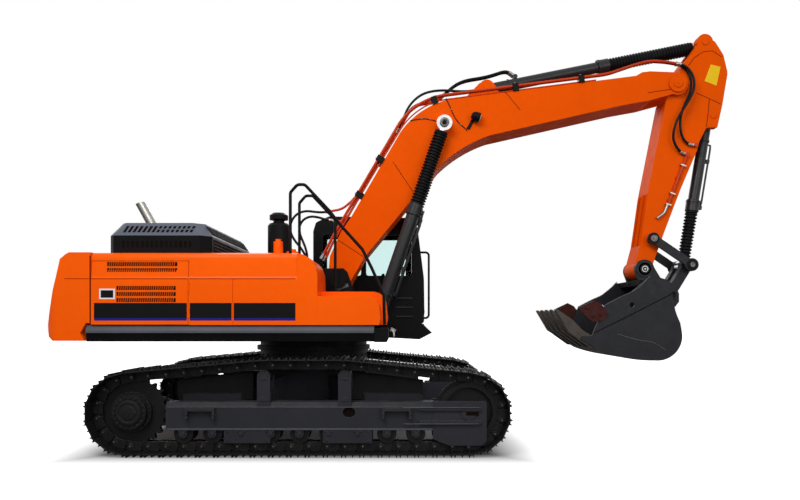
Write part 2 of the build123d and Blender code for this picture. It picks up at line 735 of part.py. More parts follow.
# The hood's hinges stand on the tank's and the left body's top, just ahead of the hood
HOOD_HINGE_Y = 800
HOOD_HINGE = (HOOD_X[1] + HOOD_HINGE_RADIUS, HOUSE_TOP + HOOD_HINGE_RADIUS)


def hood_hinge_foot(middle):
    x, z = HOOD_HINGE
    block((x - 8, x + HOOD_HINGE_RADIUS), (middle - 30, middle + 30), (HOUSE_TOP, z))
    disc(HOOD_HINGE, (middle - 30, middle + 30), HOOD_HINGE_RADIUS)


# Tanks and bodies ahead of the engine bay
with BuildPart() as right_tank:
    skin_between(BAY_FRONT, TANK_FRONT, -1, 420)
    block((TANK_SEAM - 3, TANK_SEAM + 3), (-1600, -HOUSE_HALF + 8), (DECK, HOUSE_TOP), Mode.SUBTRACT)
    with BuildSketch(side(-560)) as nose:
        with BuildLine():
            Polyline((TANK_FRONT, DECK), (TANK_NOSE, DECK), (TANK_NOSE, 2130))
            Spline((TANK_NOSE, 2130), (150, 2345), (TANK_FRONT, 2425), tangents=((0, 1), (-1, 0.08)))
            Line((TANK_FRONT, 2425), (TANK_FRONT, DECK))
        make_face()
    extrude(nose.sketch, amount=HOUSE_HALF - 560)
    half_hinges(BAY_FRONT, -HOUSE_HALF, BAY_HINGES, False)
    hood_hinge_foot(-HOOD_HINGE_Y)
save(right_tank, "right_tank")

with BuildPart() as left_body:
    skin_between(BAY_FRONT, CAB_REAR - 45, 1, 420)
    block((TANK_SEAM - 3, TANK_SEAM + 3), (HOUSE_HALF - 8, 1600), (DECK, HOUSE_TOP), Mode.SUBTRACT)
    half_hinges(BAY_FRONT, HOUSE_HALF, BAY_HINGES, False)
    hood_hinge_foot(HOOD_HINGE_Y)
save(left_body, "left_body")

COVER_FRONT = -60
COVER_TOP = 2400
with BuildPart() as centre_cover:
    block((BAY_FRONT, COVER_FRONT), (-419, -305), (DECK - 60, COVER_TOP))
    block((BAY_FRONT, COVER_FRONT), (305, 419), (DECK - 60, COVER_TOP))
    block((BAY_FRONT, COVER_FRONT), (-419, 419), (2100, COVER_TOP))
save(centre_cover, "centre_cover")

with BuildPart() as front_box:
    with BuildSketch(side(-1100)) as low:
        with BuildLine():
            Polyline((TANK_NOSE, DECK), (960, DECK), (975, 1650), (960, 1780))
            ThreePointArc((960, 1780), (925, 1872), (840, 1915))
            Polyline((840, 1915), (TANK_NOSE, 1915), (TANK_NOSE, DECK))
        make_face()
    extrude(low.sketch, amount=HOUSE_HALF - 1100)
    with BuildSketch(side(-560)) as high:
        with BuildLine():
            Polyline((TANK_NOSE, DECK), (1040, DECK), (1055, 1650), (1035, 1830))
            ThreePointArc((1035, 1830), (985, 1940), (880, 1985))
            Polyline((880, 1985), (TANK_NOSE, 1985), (TANK_NOSE, DECK))
        make_face()
    extrude(high.sketch, amount=1100 - 560)
save(front_box, "front_box")

# Engine hood: a low tier with upright walls and a narrower tier with leaning walls
HOOD_TIER = 2670
HOOD_TOP = 2840
HOOD_LEAN = 115
HOOD_LOW = HOUSE_TOP + GAP
REAR_CUT = 55
FRONT_CUT = 130
SLOT_DEPTH = 14
HOOD_SLOTS = 15
HOOD_SLOT_X = (-2210, -1330)
HOOD_SLOT_Z = (2712, 2796)
HOOD_SLOT_RIGHT = (HOOD_Y[0] - 1, HOOD_Y[0] + 88)
HOOD_SLOT_LEFT = (HOOD_Y[1] - 88, HOOD_Y[1] + 1)


def hood_face(inset, z):
    """The hood's outline at a height, with its corners cut off, drawn in by an inset."""
    rear, front = HOOD_X[0] + inset, HOOD_X[1] - inset
    right, left = HOOD_Y[0] + inset, HOOD_Y[1] - inset
    with BuildSketch(plan(z)) as face:
        with BuildLine():
            Polyline(
                (rear, right + REAR_CUT),
                (rear + REAR_CUT, right),
                (front - FRONT_CUT, right),
                (front, right + FRONT_CUT),
                (front, left - FRONT_CUT),
                (front - FRONT_CUT, left),
                (rear + REAR_CUT, left),
                (rear, left - REAR_CUT),
                close=True,
            )
        make_face()
    return face.sketch


with BuildPart() as hood_base:
    extrude(hood_face(0, HOOD_LOW), amount=HOOD_TIER - HOOD_LOW)
    extrude(hood_face(PANEL, HOOD_LOW), amount=HOOD_TIER - HOOD_LOW, mode=Mode.SUBTRACT)
    for x in slot_rows(*HOOD_SLOT_X, HOOD_SLOTS):
        block((x, x + 34), (HOOD_Y[0] - 1, HOOD_Y[0] + SLOT_DEPTH), (2520, 2600), Mode.SUBTRACT)
        block((x, x + 34), (HOOD_Y[1] - SLOT_DEPTH, HOOD_Y[1] + 1), (2520, 2600), Mode.SUBTRACT)
    for start in (30 + FIT, -90 - FIT):
        for middle in (-HOOD_HINGE_Y, HOOD_HINGE_Y):
            lug = (middle + start, middle + start + 60)
            disc(HOOD_HINGE, lug, HOOD_HINGE_RADIUS)
            block((HOOD_X[1] - 1, HOOD_HINGE[0]), lug, (HOOD_LOW, HOOD_HINGE[1] + HOOD_HINGE_RADIUS))
save(hood_base, "hood_base")

with BuildPart() as hood_top:
    with BuildPart(mode=Mode.PRIVATE) as hood_outside:
        loft([hood_face(0, HOOD_TIER).faces()[0], hood_face(HOOD_LEAN, HOOD_TOP).faces()[0]])
    with BuildPart(mode=Mode.PRIVATE) as hood_inside:
        loft(
            [
                hood_face(PANEL, HOOD_TIER).faces()[0],
                hood_face(HOOD_LEAN + PANEL - 20, HOOD_TOP - PANEL).faces()[0],
            ]
        )
    add(hood_outside.part)
    add(hood_inside.part, mode=Mode.SUBTRACT)
    # Slots in the leaning sides, each leaning forward
    for x in slot_rows(*HOOD_SLOT_X, HOOD_SLOTS):
        slot = [(x, HOOD_SLOT_Z[0]), (x + 34, HOOD_SLOT_Z[0]), (x + 64, HOOD_SLOT_Z[1]), (x + 30, HOOD_SLOT_Z[1])]
        for y_from, y_to in (HOOD_SLOT_RIGHT, HOOD_SLOT_LEFT):
            plate(slot, (y_from, y_to), Mode.SUBTRACT)
save(hood_top, "hood_top")

# Exhaust: a short slant pipe with a slant cut mouth
with BuildPart() as exhaust:
    with BuildSketch(Plane(origin=(SWING_X - 2010, -700, HOOD_TOP), z_dir=(-0.55, 0, 1))):
        Circle(62)
        Circle(54, mode=Mode.SUBTRACT)
    extrude(amount=420)
    with BuildSketch(plan(HOOD_TOP)):
        with Locations((-2010, -700)):
            Circle(85)
            Circle(75, mode=Mode.SUBTRACT)
    extrude(amount=40)
    with BuildSketch(side(-600)) as mouth:
        with BuildLine():
            Polyline((-2500, 3060), (-2060, 3195), (-1900, 3600), (-2500, 3600), close=True)
        make_face()
    extrude(mouth.sketch, amount=200, mode=Mode.SUBTRACT)
    block((-2400, -1700), (-900, -500), (HOOD_TOP - 300, HOOD_TOP), Mode.SUBTRACT)
save(exhaust, "exhaust")

# Pre-cleaner on the tank
CLEANER = (-340, -900)
with BuildPart() as pre_cleaner:
    with BuildSketch(Plane(origin=(SWING_X + CLEANER[0], CLEANER[1], 0), x_dir=(1, 0, 0), z_dir=(0, -1, 0))) as half:
        with BuildLine():
            Polyline(
                (0, HOUSE_TOP), (120, HOUSE_TOP), (120, 2475), (140, 2490), (140, 2830), (118, 2860),
                (70, 2875), (70, 2900), (118, 2910), (118, 2965), (80, 2995), (0, 3005), close=True,
            )
        make_face()
    revolve(half.sketch, axis=Axis((SWING_X + CLEANER[0], CLEANER[1], 0), (0, 0, 1)))
save(pre_cleaner, "pre_cleaner")

# Two small capped cylinders beside the pre-cleaner, as (x, y, radius, height)
FILTERS = ((-292, -1220, 58, 185), (-130, -1130, 75, 70))
with BuildPart() as filters:
    for x, y, radius, height in FILTERS:
        knuckle(x, y, (HOUSE_TOP, HOUSE_TOP + height - 30), radius)
        knuckle(x, y, (HOUSE_TOP + height - 30, HOUSE_TOP + height), radius * 0.6)
save(filters, "filters")

# Cab
DOOR_X = (330, 1400)
DOOR_Z = (1640, 3000)
CAB_HINGES = ((1800, 1900), (2700, 2800))


def cab_outline(inset):
    """The cab's side, drawn in by the wall's thickness where inset is given."""
    with BuildSketch(side(0)) as face:
        with BuildLine():
            Polyline(
                (CAB_REAR, DECK),
                (CAB_FRONT, DECK),
                (CAB_FRONT - 10, 2250),
                (CAB_FRONT - 110, 3040),
                (CAB_FRONT - 260, CAB_ROOF),
                (CAB_REAR + 230, CAB_ROOF + 20),
                (CAB_REAR + 40, CAB_ROOF - 70),
                (CAB_REAR, 2950),
                close=True,
            )
        make_face()
        fillet(face.vertices().group_by(Axis.Z)[-1], 60)
        if inset:
            offset(amount=-inset, kind=Kind.INTERSECTION, mode=Mode.REPLACE)
    return face.sketch


RIGHT_WINDOWS = ((60, 640, 2280, 2900), (700, 1390, 2280, 2900))
DOOR_WINDOW = (420, 1310, 2250, 2930)
WINDOW_RADIUS = 45
SIDE_WINDOW_Z = (2280, 2950)


def window(plane, x, z, thickness, mode, grow=0.0):
    with BuildSketch(plane) as pane:
        with Locations(((x[0] + x[1]) / 2, (z[0] + z[1]) / 2)):
            RectangleRounded(x[1] - x[0] + 2 * grow, z[1] - z[0] + 2 * grow, WINDOW_RADIUS + grow)
    extrude(pane.sketch, amount=thickness, mode=mode)


FRONT_WINDOW_Y = (CAB_INNER + 90, CAB_OUTER - 90)
FRONT_WINDOW_Z = (1750, 3000)
REAR_WINDOW_Z = (2250, 2880)
with BuildPart() as cab_shell:
    extrude(cab_outline(0).moved(Location((0, CAB_OUTER, 0))), amount=CAB_OUTER - CAB_INNER)
    extrude(
        cab_outline(CAB_WALL).moved(Location((0, CAB_OUTER - CAB_WALL, 0))),
        amount=CAB_OUTER - CAB_INNER - 2 * CAB_WALL,
        mode=Mode.SUBTRACT,
    )
    for x_from, x_to, z_from, z_to in RIGHT_WINDOWS:
        window(side(CAB_INNER + CAB_WALL + 1), (x_from, x_to), (z_from, z_to), CAB_WALL + 2, Mode.SUBTRACT)
    window(side(CAB_OUTER + 1), DOOR_X, DOOR_Z, CAB_WALL + 2, Mode.SUBTRACT)
    window(side(CAB_OUTER + 1), (20, 270), SIDE_WINDOW_Z, CAB_WALL + 2, Mode.SUBTRACT)
    window(across(CAB_FRONT - 250), FRONT_WINDOW_Y, FRONT_WINDOW_Z, 300, Mode.SUBTRACT)
    window(across(CAB_REAR - 10), FRONT_WINDOW_Y, REAR_WINDOW_Z, CAB_WALL + 60, Mode.SUBTRACT)
    half_hinges(DOOR_X[0], CAB_OUTER, CAB_HINGES, False)
    # Pressed ribs low on the right side
    for low in (1660, 1795, 1930):
        block((1150, 1400), (CAB_INNER - 8, CAB_INNER), (low, low + 28))
save(cab_shell, "cab_shell")

# Cab glass: each pane fills its opening at the middle of the wall
PANE_IN = (CAB_WALL - GLASS) / 2
with BuildPart() as cab_glass:
    for x_from, x_to, z_from, z_to in RIGHT_WINDOWS:
        window(side(CAB_INNER + PANE_IN + GLASS), (x_from, x_to), (z_from, z_to), GLASS, Mode.ADD)
    window(side(CAB_OUTER - PANE_IN), (20, 270), SIDE_WINDOW_Z, GLASS, Mode.ADD)
    with BuildPart(mode=Mode.PRIVATE) as skin:
        extrude(cab_outline(PANE_IN).moved(Location((0, CAB_OUTER, 0))), amount=CAB_OUTER - CAB_INNER)
        extrude(
            cab_outline(PANE_IN + GLASS).moved(Location((0, CAB_OUTER, 0))),
            amount=CAB_OUTER - CAB_INNER,
            mode=Mode.SUBTRACT,
        )
    for start, z, depth in ((CAB_FRONT - 250, FRONT_WINDOW_Z, 300), (CAB_REAR - 10, REAR_WINDOW_Z, CAB_WALL + 60)):
        with BuildPart(mode=Mode.PRIVATE) as pane:
            window(across(start), FRONT_WINDOW_Y, z, depth, Mode.ADD)
            add(skin.part, mode=Mode.INTERSECT)
        add(pane.part)
save(cab_glass, "cab_glass")

with BuildPart() as cab_door:
    window(side(CAB_OUTER), DOOR_X, DOOR_Z, CAB_WALL, Mode.ADD, grow=-GAP)
    window(
        side(CAB_OUTER + 1), DOOR_WINDOW[:2], DOOR_WINDOW[2:], CAB_WALL + 2, Mode.SUBTRACT
    )
    disc((DOOR_X[1] - 90, 2130), (CAB_OUTER, CAB_OUTER + 25), 20)
    half_hinges(DOOR_X[0], CAB_OUTER, CAB_HINGES, True)
save(cab_door, "cab_door")

with BuildPart() as door_glass:
    window(side(CAB_OUTER - PANE_IN), DOOR_WINDOW[:2], DOOR_WINDOW[2:], GLASS, Mode.ADD)
save(door_glass, "door_glass")

with BuildPart() as seat:
    block((500, 1000), (820, 1260), (DECK + CAB_WALL, 1950))
    block((430, 960), (790, 1290), (1950, 2080))
    plate([(430, 2080), (580, 2080), (440, 2720), (330, 2720)], (800, 1280))
    for y_from, y_to in ((620, 770), (1300, 1420)):
        block((480, 1050), (y_from, y_to), (DECK + CAB_WALL, 2180))
save(seat, "seat")

# Left deck under the cab, with a wedge nose in front
with BuildPart() as cab_deck:
    plate(
        [
            (CAB_REAR, BELLY + CLEAR),
            (850, BELLY + CLEAR),
            (1500, BELLY - 30),
            (1685, 1440),
            (1567, DECK - 15),
            (CAB_FRONT, DECK),
            (CAB_REAR, DECK),
        ],
        (CAB_INNER, 1480),
    )
save(cab_deck, "cab_deck")

# Handrails on the right, over the front box, and on the cab's front
RAIL_TUBE = 19
RIGHT_RAIL = (
    (-115, 2440), (-115, 3170), (-30, 3266), (60, 3266), (357, 2949), (496, 2771),
    (755, 2484), (866, 2262), (1015, 1929), (1024, 1575),
)
CAB_RAIL = ((1569, 1660), (1640, 1660), (1640, 2640), (1514, 2640))


def tube(points, y, radius, bend):
    with BuildLine(side(y)) as path:
        FilletPolyline(*points, radius=bend)
    with BuildSketch(Plane(origin=path.line @ 0, z_dir=path.line % 0)) as ring:
        Circle(radius)
    sweep(ring.sketch, path=path.line)


with BuildPart() as handrails:
    tube(RIGHT_RAIL, -1400, RAIL_TUBE, 60)
    tube([(-115, 2440), (-115, 3170), (-30, 3266), (60, 3266), (357, 2949), (357, 1985)], -640, RAIL_TUBE, 50)
    tube(CAB_RAIL, CAB_INNER + 60, 16, 50)
save(handrails, "handrails")

# Boom: a bent box beam with a foot, a fork at its tip, a bracket on its back and a boss for each boom cylinder
TIP_RADIUS = 153
FOOT_RADIUS = 160
FORK_ROOT = ((-540, 320), (-500, 60), (-300, -320), (400, -320), (400, 320))
with BuildPart() as boom:
    with BuildSketch(side(BOOM_HALF)) as profile:
        with BuildLine():
            Polyline((225, 2240), (250, 2508), (401, 2837), (524, 3015), (1210, 4195))
            ThreePointArc((1210, 4195), (1484, 4475), (1855, 4645))
            Polyline(
                (1855, 4645), (4228, 4949), (4447, 4977), (4529, 5025), (4639, 5038), (5010, 5023),
                (5150, 4930), (5155, 4820), (5050, 4771), (4913, 4716), (4612, 4634), (4228, 4565), (2444, 4161),
            )
            ThreePointArc((2444, 4161), (2070, 3985), (1745, 3729))
            Polyline((1745, 3729), (716, 2480), (528, 2150), (225, 2240))
        make_face()
        with Locations(ARM_PIVOT):
            Circle(TIP_RADIUS)
        with Locations(BOOM_FOOT):
            Circle(FOOT_RADIUS)
    extrude(amount=2 * BOOM_HALF)
    plate(
        [(ARM_PIVOT[0] + x, ARM_PIVOT[1] + z) for x, z in FORK_ROOT], (-EAR_INNER, EAR_INNER), Mode.SUBTRACT
    )
    for y_from, y_to in both_sides(BOOM_HALF, BOOM_HALF + 28):
        disc(ARM_PIVOT, (y_from, y_to), 120)
    for y_from, y_to in both_sides(BOOM_HALF, BOOM_CYLINDER_Y - CYLINDER_BASE_HALF - CLEAR):
        disc(BOOM_CYLINDER_EYE, (y_from, y_to), 115)
    for y_from, y_to in both_sides(ARM_CYLINDER[5] + 15, ARM_CYLINDER[5] + 60):
        plate([(2040, 4640), (2320, 4930), (2510, 4930), (2640, 4720), (2640, 4640)], (y_from, y_to))
        disc(ARM_CYLINDER_BASE, (y_from, y_to), 105)
    disc(ARM_CYLINDER_BASE, (-ARM_CYLINDER[5] - 70, ARM_CYLINDER[5] + 70), SMALL_PIN_RADIUS)
    disc(BOOM_FOOT, (-BOOM_HALF - 1, BOOM_HALF + 1), PIN_RADIUS + FIT, Mode.SUBTRACT)
    disc(ARM_PIVOT, (-BOOM_HALF - 40, BOOM_HALF + 40), PIN_RADIUS)
save(boom, "boom")

# Oil pipes on the boom's back, over its bend and up to its tip
PIPE_RADIUS = 17
EYE_REACH = ARM_CYLINDER[4] + FIT
DRAIN_RADIUS = 10
PIPE_RISE = 75       # from the boom's back to the pipes' middle
PIPE_FOOT = ((132, 2470), (300, 2800))
PIPE_BEND = (1394, 4661)
PIPE_TIP = ((4057, 5004), (4400, 5122), (4630, 5186), (4850, 5172), (4990, 5149.5))
KNEE_END = (1147, 4240)
RISER_END = ((1700, 4700.4), (1775, 4760))
UPPER_START = ((248, -85, 3150), (400, -85, 3178), (540, -85, 3290), (732, -85, 3535))
LOWER_START = ((290, -20, 3025), (395, -20, 3015), (480, -20, 3085), (655, -20, 3404))


def at_width(points, y):
    return tuple((x, y, z) for x, z in points)


# Each pipe as its radius and its points
PIPES = (
    (PIPE_RADIUS, at_width(PIPE_FOOT + (PIPE_BEND,) + PIPE_TIP, -264)),
    (PIPE_RADIUS, at_width(PIPE_FOOT + (PIPE_BEND,) + PIPE_TIP, -224)),
    (PIPE_RADIUS, UPPER_START + at_width((KNEE_END,), -85)),
    (PIPE_RADIUS, LOWER_START + at_width((PIPE_BEND,) + RISER_END, -20)),
    (PIPE_RADIUS, at_width(PIPE_FOOT + (PIPE_BEND,) + RISER_END, 45)),
    (DRAIN_RADIUS, at_width(((205, 2480), (318, 2745), (600, 3226), (1435, 4605), (3900, 4923)), -252)),
)
WIDEST_BEND = 900


def tube_between(points, radius):
    """A tube along straight runs and arcs as large as the runs allow, through points in space."""
    spots = [Vector(SWING_X + x, y, z) for x, y, z in points]
    runs = [b - a for a, b in zip(spots, spots[1:])]
    bends = []
    for before, after in zip(runs, runs[1:]):
        half_turn = radians(before.get_angle(after)) / 2
        bends.append(min(0.45 * min(before.length, after.length) / tan(half_turn), WIDEST_BEND))
    with BuildLine() as path:
        FilletPolyline(*spots, radius=bends)
    with BuildSketch(Plane(origin=path.line @ 0, z_dir=path.line % 0)) as ring:
        Circle(radius)
    sweep(ring.sketch, path=path.line)
    length = sum(edge.length for edge in path.edges())
    print(f"tube of {length:.0f} mm, bends of {min(bends):.0f} mm and more")


with BuildPart() as boom_pipes:
    for radius, points in PIPES:
        tube_between(points, radius)
save(boom_pipes, "boom_pipes")

# Clamps that hold the pipes down, as a point on the boom's back, the slope there and the pipes' middle
CLAMPS = (
    (700, 3318, 59.8, -244), (985, 3808, 59.8, -244), (1700, 4592, 21, -244), (2800, 4766, 7.3, -244),
    (3700, 4881, 7.3, -244), (985, 3808, 59.8, -20),
)
CLAMP_LENGTH = 80
CLAMP_HALF = {-244: 48, -20: 95}
with BuildPart() as pipe_clamps:
    for x, z, slope, middle in CLAMPS:
        along, up = (cos(radians(slope)), sin(radians(slope))), (-sin(radians(slope)), cos(radians(slope)))
        corners = []
        for shift, rise in ((-0.5, 1), (0.5, 1), (0.5, PIPE_RISE + 30), (-0.5, PIPE_RISE + 30)):
            corners.append((
                x + along[0] * shift * CLAMP_LENGTH + up[0] * rise,
                z + along[1] * shift * CLAMP_LENGTH + up[1] * rise,
            ))
        plate(corners, (middle - CLAMP_HALF[middle], middle + CLAMP_HALF[middle]))
    add(boom_pipes.part, mode=Mode.SUBTRACT)
    add(boom.part, mode=Mode.SUBTRACT)
save(pipe_clamps, "pipe_clamps")

# Work lamp on the boom's right side
LAMP = (2230, 4400)
LAMP_Y = -BOOM_HALF - 75
with BuildPart() as boom_lamp:
    with BuildSketch(along_plane(LAMP, (LAMP[0] + 120, LAMP[1] - 40), LAMP_Y)) as half:
        with BuildLine():
            Polyline((-50, 0), (-50, 30), (-10, 62), (70, 66), (70, 0), close=True)
        make_face()
    revolve(half.sketch, axis=Axis((SWING_X + LAMP[0], LAMP_Y, LAMP[1]), (120, 0, -40)))
    plate(
        [(LAMP[0] - 110, LAMP[1] - 150), (LAMP[0] - 70, LAMP[1] - 165), (LAMP[0] + 10, LAMP[1] - 20),
         (LAMP[0] - 30, LAMP[1])],
        (-BOOM_HALF - 12, -BOOM_HALF - FIT),
    )
    disc((LAMP[0] - 15, LAMP[1] - 15), (-BOOM_HALF - 60, -BOOM_HALF - 10), 16)
save(boom_lamp, "boom_lamp")

# Hoses: each is a list of points in space, chosen by hand from the photograph
HOSE_RADIUS = 17
HOSES = {
    "foot_hoses": (
        (
            (247.7, -85, 3149.9), (150, -85, 3132), (30, -85, 3138), (-95, -85, 3155), (-205, -85, 3128),
            (-285, -85, 3055), (-325, -85, 2955), (-318, -85, 2845), (-262, -85, 2740), (-185, -85, 2650),
            (-125, -85, 2560), (-90, -85, 2475), (-90, -85, COVER_TOP + FIT),
        ),
        (
            (289.7, -20, 3025), (180, -20, 3035.4), (60, -20, 3076), (-55, -20, 3088), (-155, -20, 3040),
            (-210, -20, 2940), (-195, -20, 2825), (-150, -20, 2725), (-108, -20, 2615), (-90, -20, 2505),
            (-90, -20, COVER_TOP + FIT),
        ),
    ),
    "cylinder_hoses": (
        (
            (1147.2, -85, 4240.3), (1207, -85, 4342), (1268, -85, 4470), (1325, -85, 4602), (1420, -85, 4715),
            (1540, -85, 4795), (1685, -80, 4832), (1835, -72, 4842), (1975, -66, 4832), (2110, -58, 4830),
            (2225, -50, 4842), (2418 - EYE_REACH, -45, 4862),
        ),
        (
            (1775.3, -20, 4760.2), (1858, -20, 4826), (1938, -20, 4902), (2040, -20, 4968), (2165, -20, 5008),
            (2300, -20, 5028), (2430, -20, 5053), (2550, -20, 5088), (2655, -20, 5124), (2735, -20, 5124),
            (2805.9, -20, 5070.3),
        ),
        (
            (1775.3, 45, 4760.2), (1858, 45, 4826), (1938, 45, 4902), (2040, 45, 4968), (2165, 45, 5008),
            (2300, 45, 5028), (2430, 45, 5053), (2550, 45, 5088), (2655, 45, 5124), (2735, 45, 5124),
            (2805.9, 45, 5070.3),
        ),
    ),
    "arm_hoses": (
        (
            (4990.3, -264, 5149.4), (5078, -264, 5135.4), (5160, -276, 5075), (5208, -298, 4980),
            (5222, -325, 4870), (5205, -340, 4750), (5145, -340, 4625), (5065, -335, 4500), (4990, -325, 4370),
            (4945, -310, 4230), (4945, -285, 4095), (5010, -262, 3985), (5080, -240, 3930), (5131, -228, 3914),
        ),
        (
            (4990.3, -224, 5149.4), (5078, -224, 5135.4), (5155, -232, 5068), (5195, -250, 4970),
            (5200, -278, 4860), (5175, -298, 4735), (5115, -300, 4610), (5060, -295, 4480), (5040, -280, 4340),
            (5060, -262, 4200), (5110, -245, 4095), (5185, -232, 4045), (5249, -228, 4038),
        ),
    ),
}
for name, routes in HOSES.items():
    with BuildPart() as hoses:
        for route in routes:
            tube_between(route, HOSE_RADIUS)
    save(hoses, name)

# Arm: a tapering box beam, slotted for the eyes of its two cylinders
with BuildPart() as arm:
    with BuildSketch(side(ARM_HALF)) as profile:
        with BuildLine():
            Polyline(
                (5313, 5429), (5217, 5291), (5106, 5139), (4885, 4670), (4816, 4324), (4636, 3412), (4526, 2666),
                (4450, 2380), (4565, 2200), (4692, 2380), (4858, 2846), (5079, 3426), (5313, 3979), (5341, 4089),
                (5438, 4283), (5590, 4290), (5659, 4601), (5728, 5015), (5728, 5060), (5673, 5291), (5560, 5470),
                (5420, 5560), close=True,
            )
        make_face()
        with Locations(ARM_CYLINDER_EYE):
            Circle(110)
        with Locations(BUCKET_PIVOT):
            Circle(132)
    extrude(amount=2 * ARM_HALF)
    # Slot for the arm cylinder's eye, with room for its drift
    bar(
        ARM_CYLINDER_EYE,
        (ARM_CYLINDER_EYE[0] - 300, ARM_CYLINDER_EYE[1] + 40),
        (-ARM_CYLINDER[5] - 12, ARM_CYLINDER[5] + 12),
        275,
        275,
        275,
        Mode.SUBTRACT,
    )
    # Slot for the bucket cylinder's base
    bar(
        BUCKET_CYLINDER_BASE,
        (5460, 3920),
        (-BUCKET_CYLINDER[0] - 12, BUCKET_CYLINDER[0] + 12),
        130,
        130,
        125,
        Mode.SUBTRACT,
    )
    disc(BUCKET_CYLINDER_BASE, (-ARM_HALF - 14, ARM_HALF + 14), SMALL_PIN_RADIUS)
    for y_from, y_to in both_sides(ARM_CYLINDER[5] + 12, ARM_HALF + 14):
        disc(ARM_CYLINDER_EYE, (y_from, y_to), SMALL_PIN_RADIUS)
    disc(IDLER_PIVOT, (-IDLER_INNER + FIT, IDLER_INNER - FIT), 62)
    disc(IDLER_PIVOT, (-IDLER_OUTER - 14, IDLER_OUTER + 14), SMALL_PIN_RADIUS)
    disc(ARM_PIVOT, (-ARM_HALF - 1, ARM_HALF + 1), PIN_RADIUS + FIT, Mode.SUBTRACT)
    disc(BUCKET_PIVOT, (-ARM_HALF - 1, ARM_HALF + 1), PIN_RADIUS + FIT, Mode.SUBTRACT)
save(arm, "arm")

# Pipes down the arm's sides on two clips each, and the unions that take the hoses
ARM_PIPE = ((5163, 3912), (5120, 3800), (4896, 3205))
ARM_PIPE_Y = ARM_HALF + 28
UNIONS = ((5163, 3908), (5279, 4038))
CLIP_SPOTS = ((5040, 3588), (4925, 3280))
with BuildPart() as arm_pipes:
    for y in (-ARM_PIPE_Y, ARM_PIPE_Y):
        tube_between(at_width(ARM_PIPE, y), 20)
        inner, outer = sorted((y, y / ARM_PIPE_Y * (ARM_HALF + FIT)))
        for x, z in CLIP_SPOTS:
            block((x - 32, x + 32), (inner, outer), (z - 14, z + 14))
    for spot in UNIONS:
        disc(spot, (-ARM_PIPE_Y - 26, -ARM_HALF - FIT), 28)
    disc(UNIONS[0], (ARM_HALF + FIT, ARM_PIPE_Y + 26), 28)
save(arm_pipes, "arm_pipes")


def build_barrel(kind, base, eye, middles, gland, unions):
    """Barrels with a base eye, a barrel, a head, a bore for the rod and any hose unions."""
    barrel_radius, head_radius, rod_radius, boot_radius, eye_radius, eye_half = kind
    with BuildPart() as barrel:
        for middle in middles:
            frame = along_plane(base, eye, middle)
            turned(
                frame,
                [
                    (40, eye_half - 2), (eye_radius, eye_half - 2), (eye_radius + 30, barrel_radius),
                    (gland - HEAD_LENGTH, barrel_radius), (gland - HEAD_LENGTH, head_radius), (gland, head_radius),
                ],
            )
            disc(base, (middle - eye_half, middle + eye_half), eye_radius)
            for y in unions:
                disc(UNION_SPOT, (y - 22, y + 22), 30)
            turned(frame, [(eye_radius + 40, rod_radius + FIT), (gland + 1, rod_radius + FIT)], Mode.SUBTRACT)
            disc(base, (middle - eye_half - 1, middle + eye_half + 1), SMALL_PIN_RADIUS + FIT, Mode.SUBTRACT)
    return barrel


def build_rod(kind, base, eye, middles, inner_end):
    rod_radius, eye_radius, eye_half = kind[2], kind[4], kind[5]
    with BuildPart() as rod:
        for middle in middles:
            frame = along_plane(base, eye, middle)
            reach = distance(base, eye)
            turned(frame, [(inner_end, rod_radius), (reach - eye_radius + 20, rod_radius)])
            disc(eye, (middle - eye_half, middle + eye_half), eye_radius)
    return rod


def build_boot(kind, base, eye, middles, gland):
    """Rubber boots over the rods, with broad folds."""
    rod_radius, boot_radius, eye_radius = kind[2], kind[3], kind[4]
    end = distance(base, eye) - eye_radius - 15
    folds = 8
    step = (end - gland - 60) / folds
    outline = [(gland + FIT, boot_radius - 6)]
    for fold in range(folds):
        outline.append((gland + 30 + (fold + 0.5) * step, boot_radius))
        outline.append((gland + 30 + (fold + 1) * step, boot_radius - 12))
    outline.append((end, rod_radius + 20))
    with BuildPart() as boot:
        for middle in middles:
            frame = along_plane(base, eye, middle)
            turned(frame, outline)
            turned(frame, [(gland - 1, rod_radius + 1), (end + 1, rod_radius + 1)], Mode.SUBTRACT)
    return boot


# How far each head stands from its base pin, and where each rod ends inside its barrel
BOOM_GLAND = 1600
ARM_GLAND = 1750
BUCKET_GLAND = 1317
BOOM_ROD_END = 1130
ARM_ROD_END = 1420
BUCKET_ROD_END = 770
PAIR = (-BOOM_CYLINDER_Y, BOOM_CYLINDER_Y)
cylinders = (
    ("boom_cylinder", BOOM_CYLINDER, BOOM_CYLINDER_BASE, BOOM_CYLINDER_EYE, PAIR, BOOM_GLAND, BOOM_ROD_END),
    ("arm_cylinder", ARM_CYLINDER, ARM_CYLINDER_BASE, ARM_CYLINDER_EYE, (0,), ARM_GLAND, ARM_ROD_END),
    ("bucket_cylinder", BUCKET_CYLINDER, BUCKET_CYLINDER_BASE, LINK_JOINT, (0,), BUCKET_GLAND, BUCKET_ROD_END),
)
# Unions on the arm cylinder's barrel, where its two hoses end
UNION_SPOT = (2830, 5052)
UNIONS_AT = {"boom_cylinder": (), "arm_cylinder": (-20, 45), "bucket_cylinder": ()}
for name, kind, base, eye, middles, gland, rod_end in cylinders:
    save(build_barrel(kind, base, eye, middles, gland, UNIONS_AT[name]), f"{name}_barrel")
    save(build_rod(kind, base, eye, middles, rod_end), f"{name}_rod")
    save(build_boot(kind, base, eye, middles, gland), f"{name}_boot")

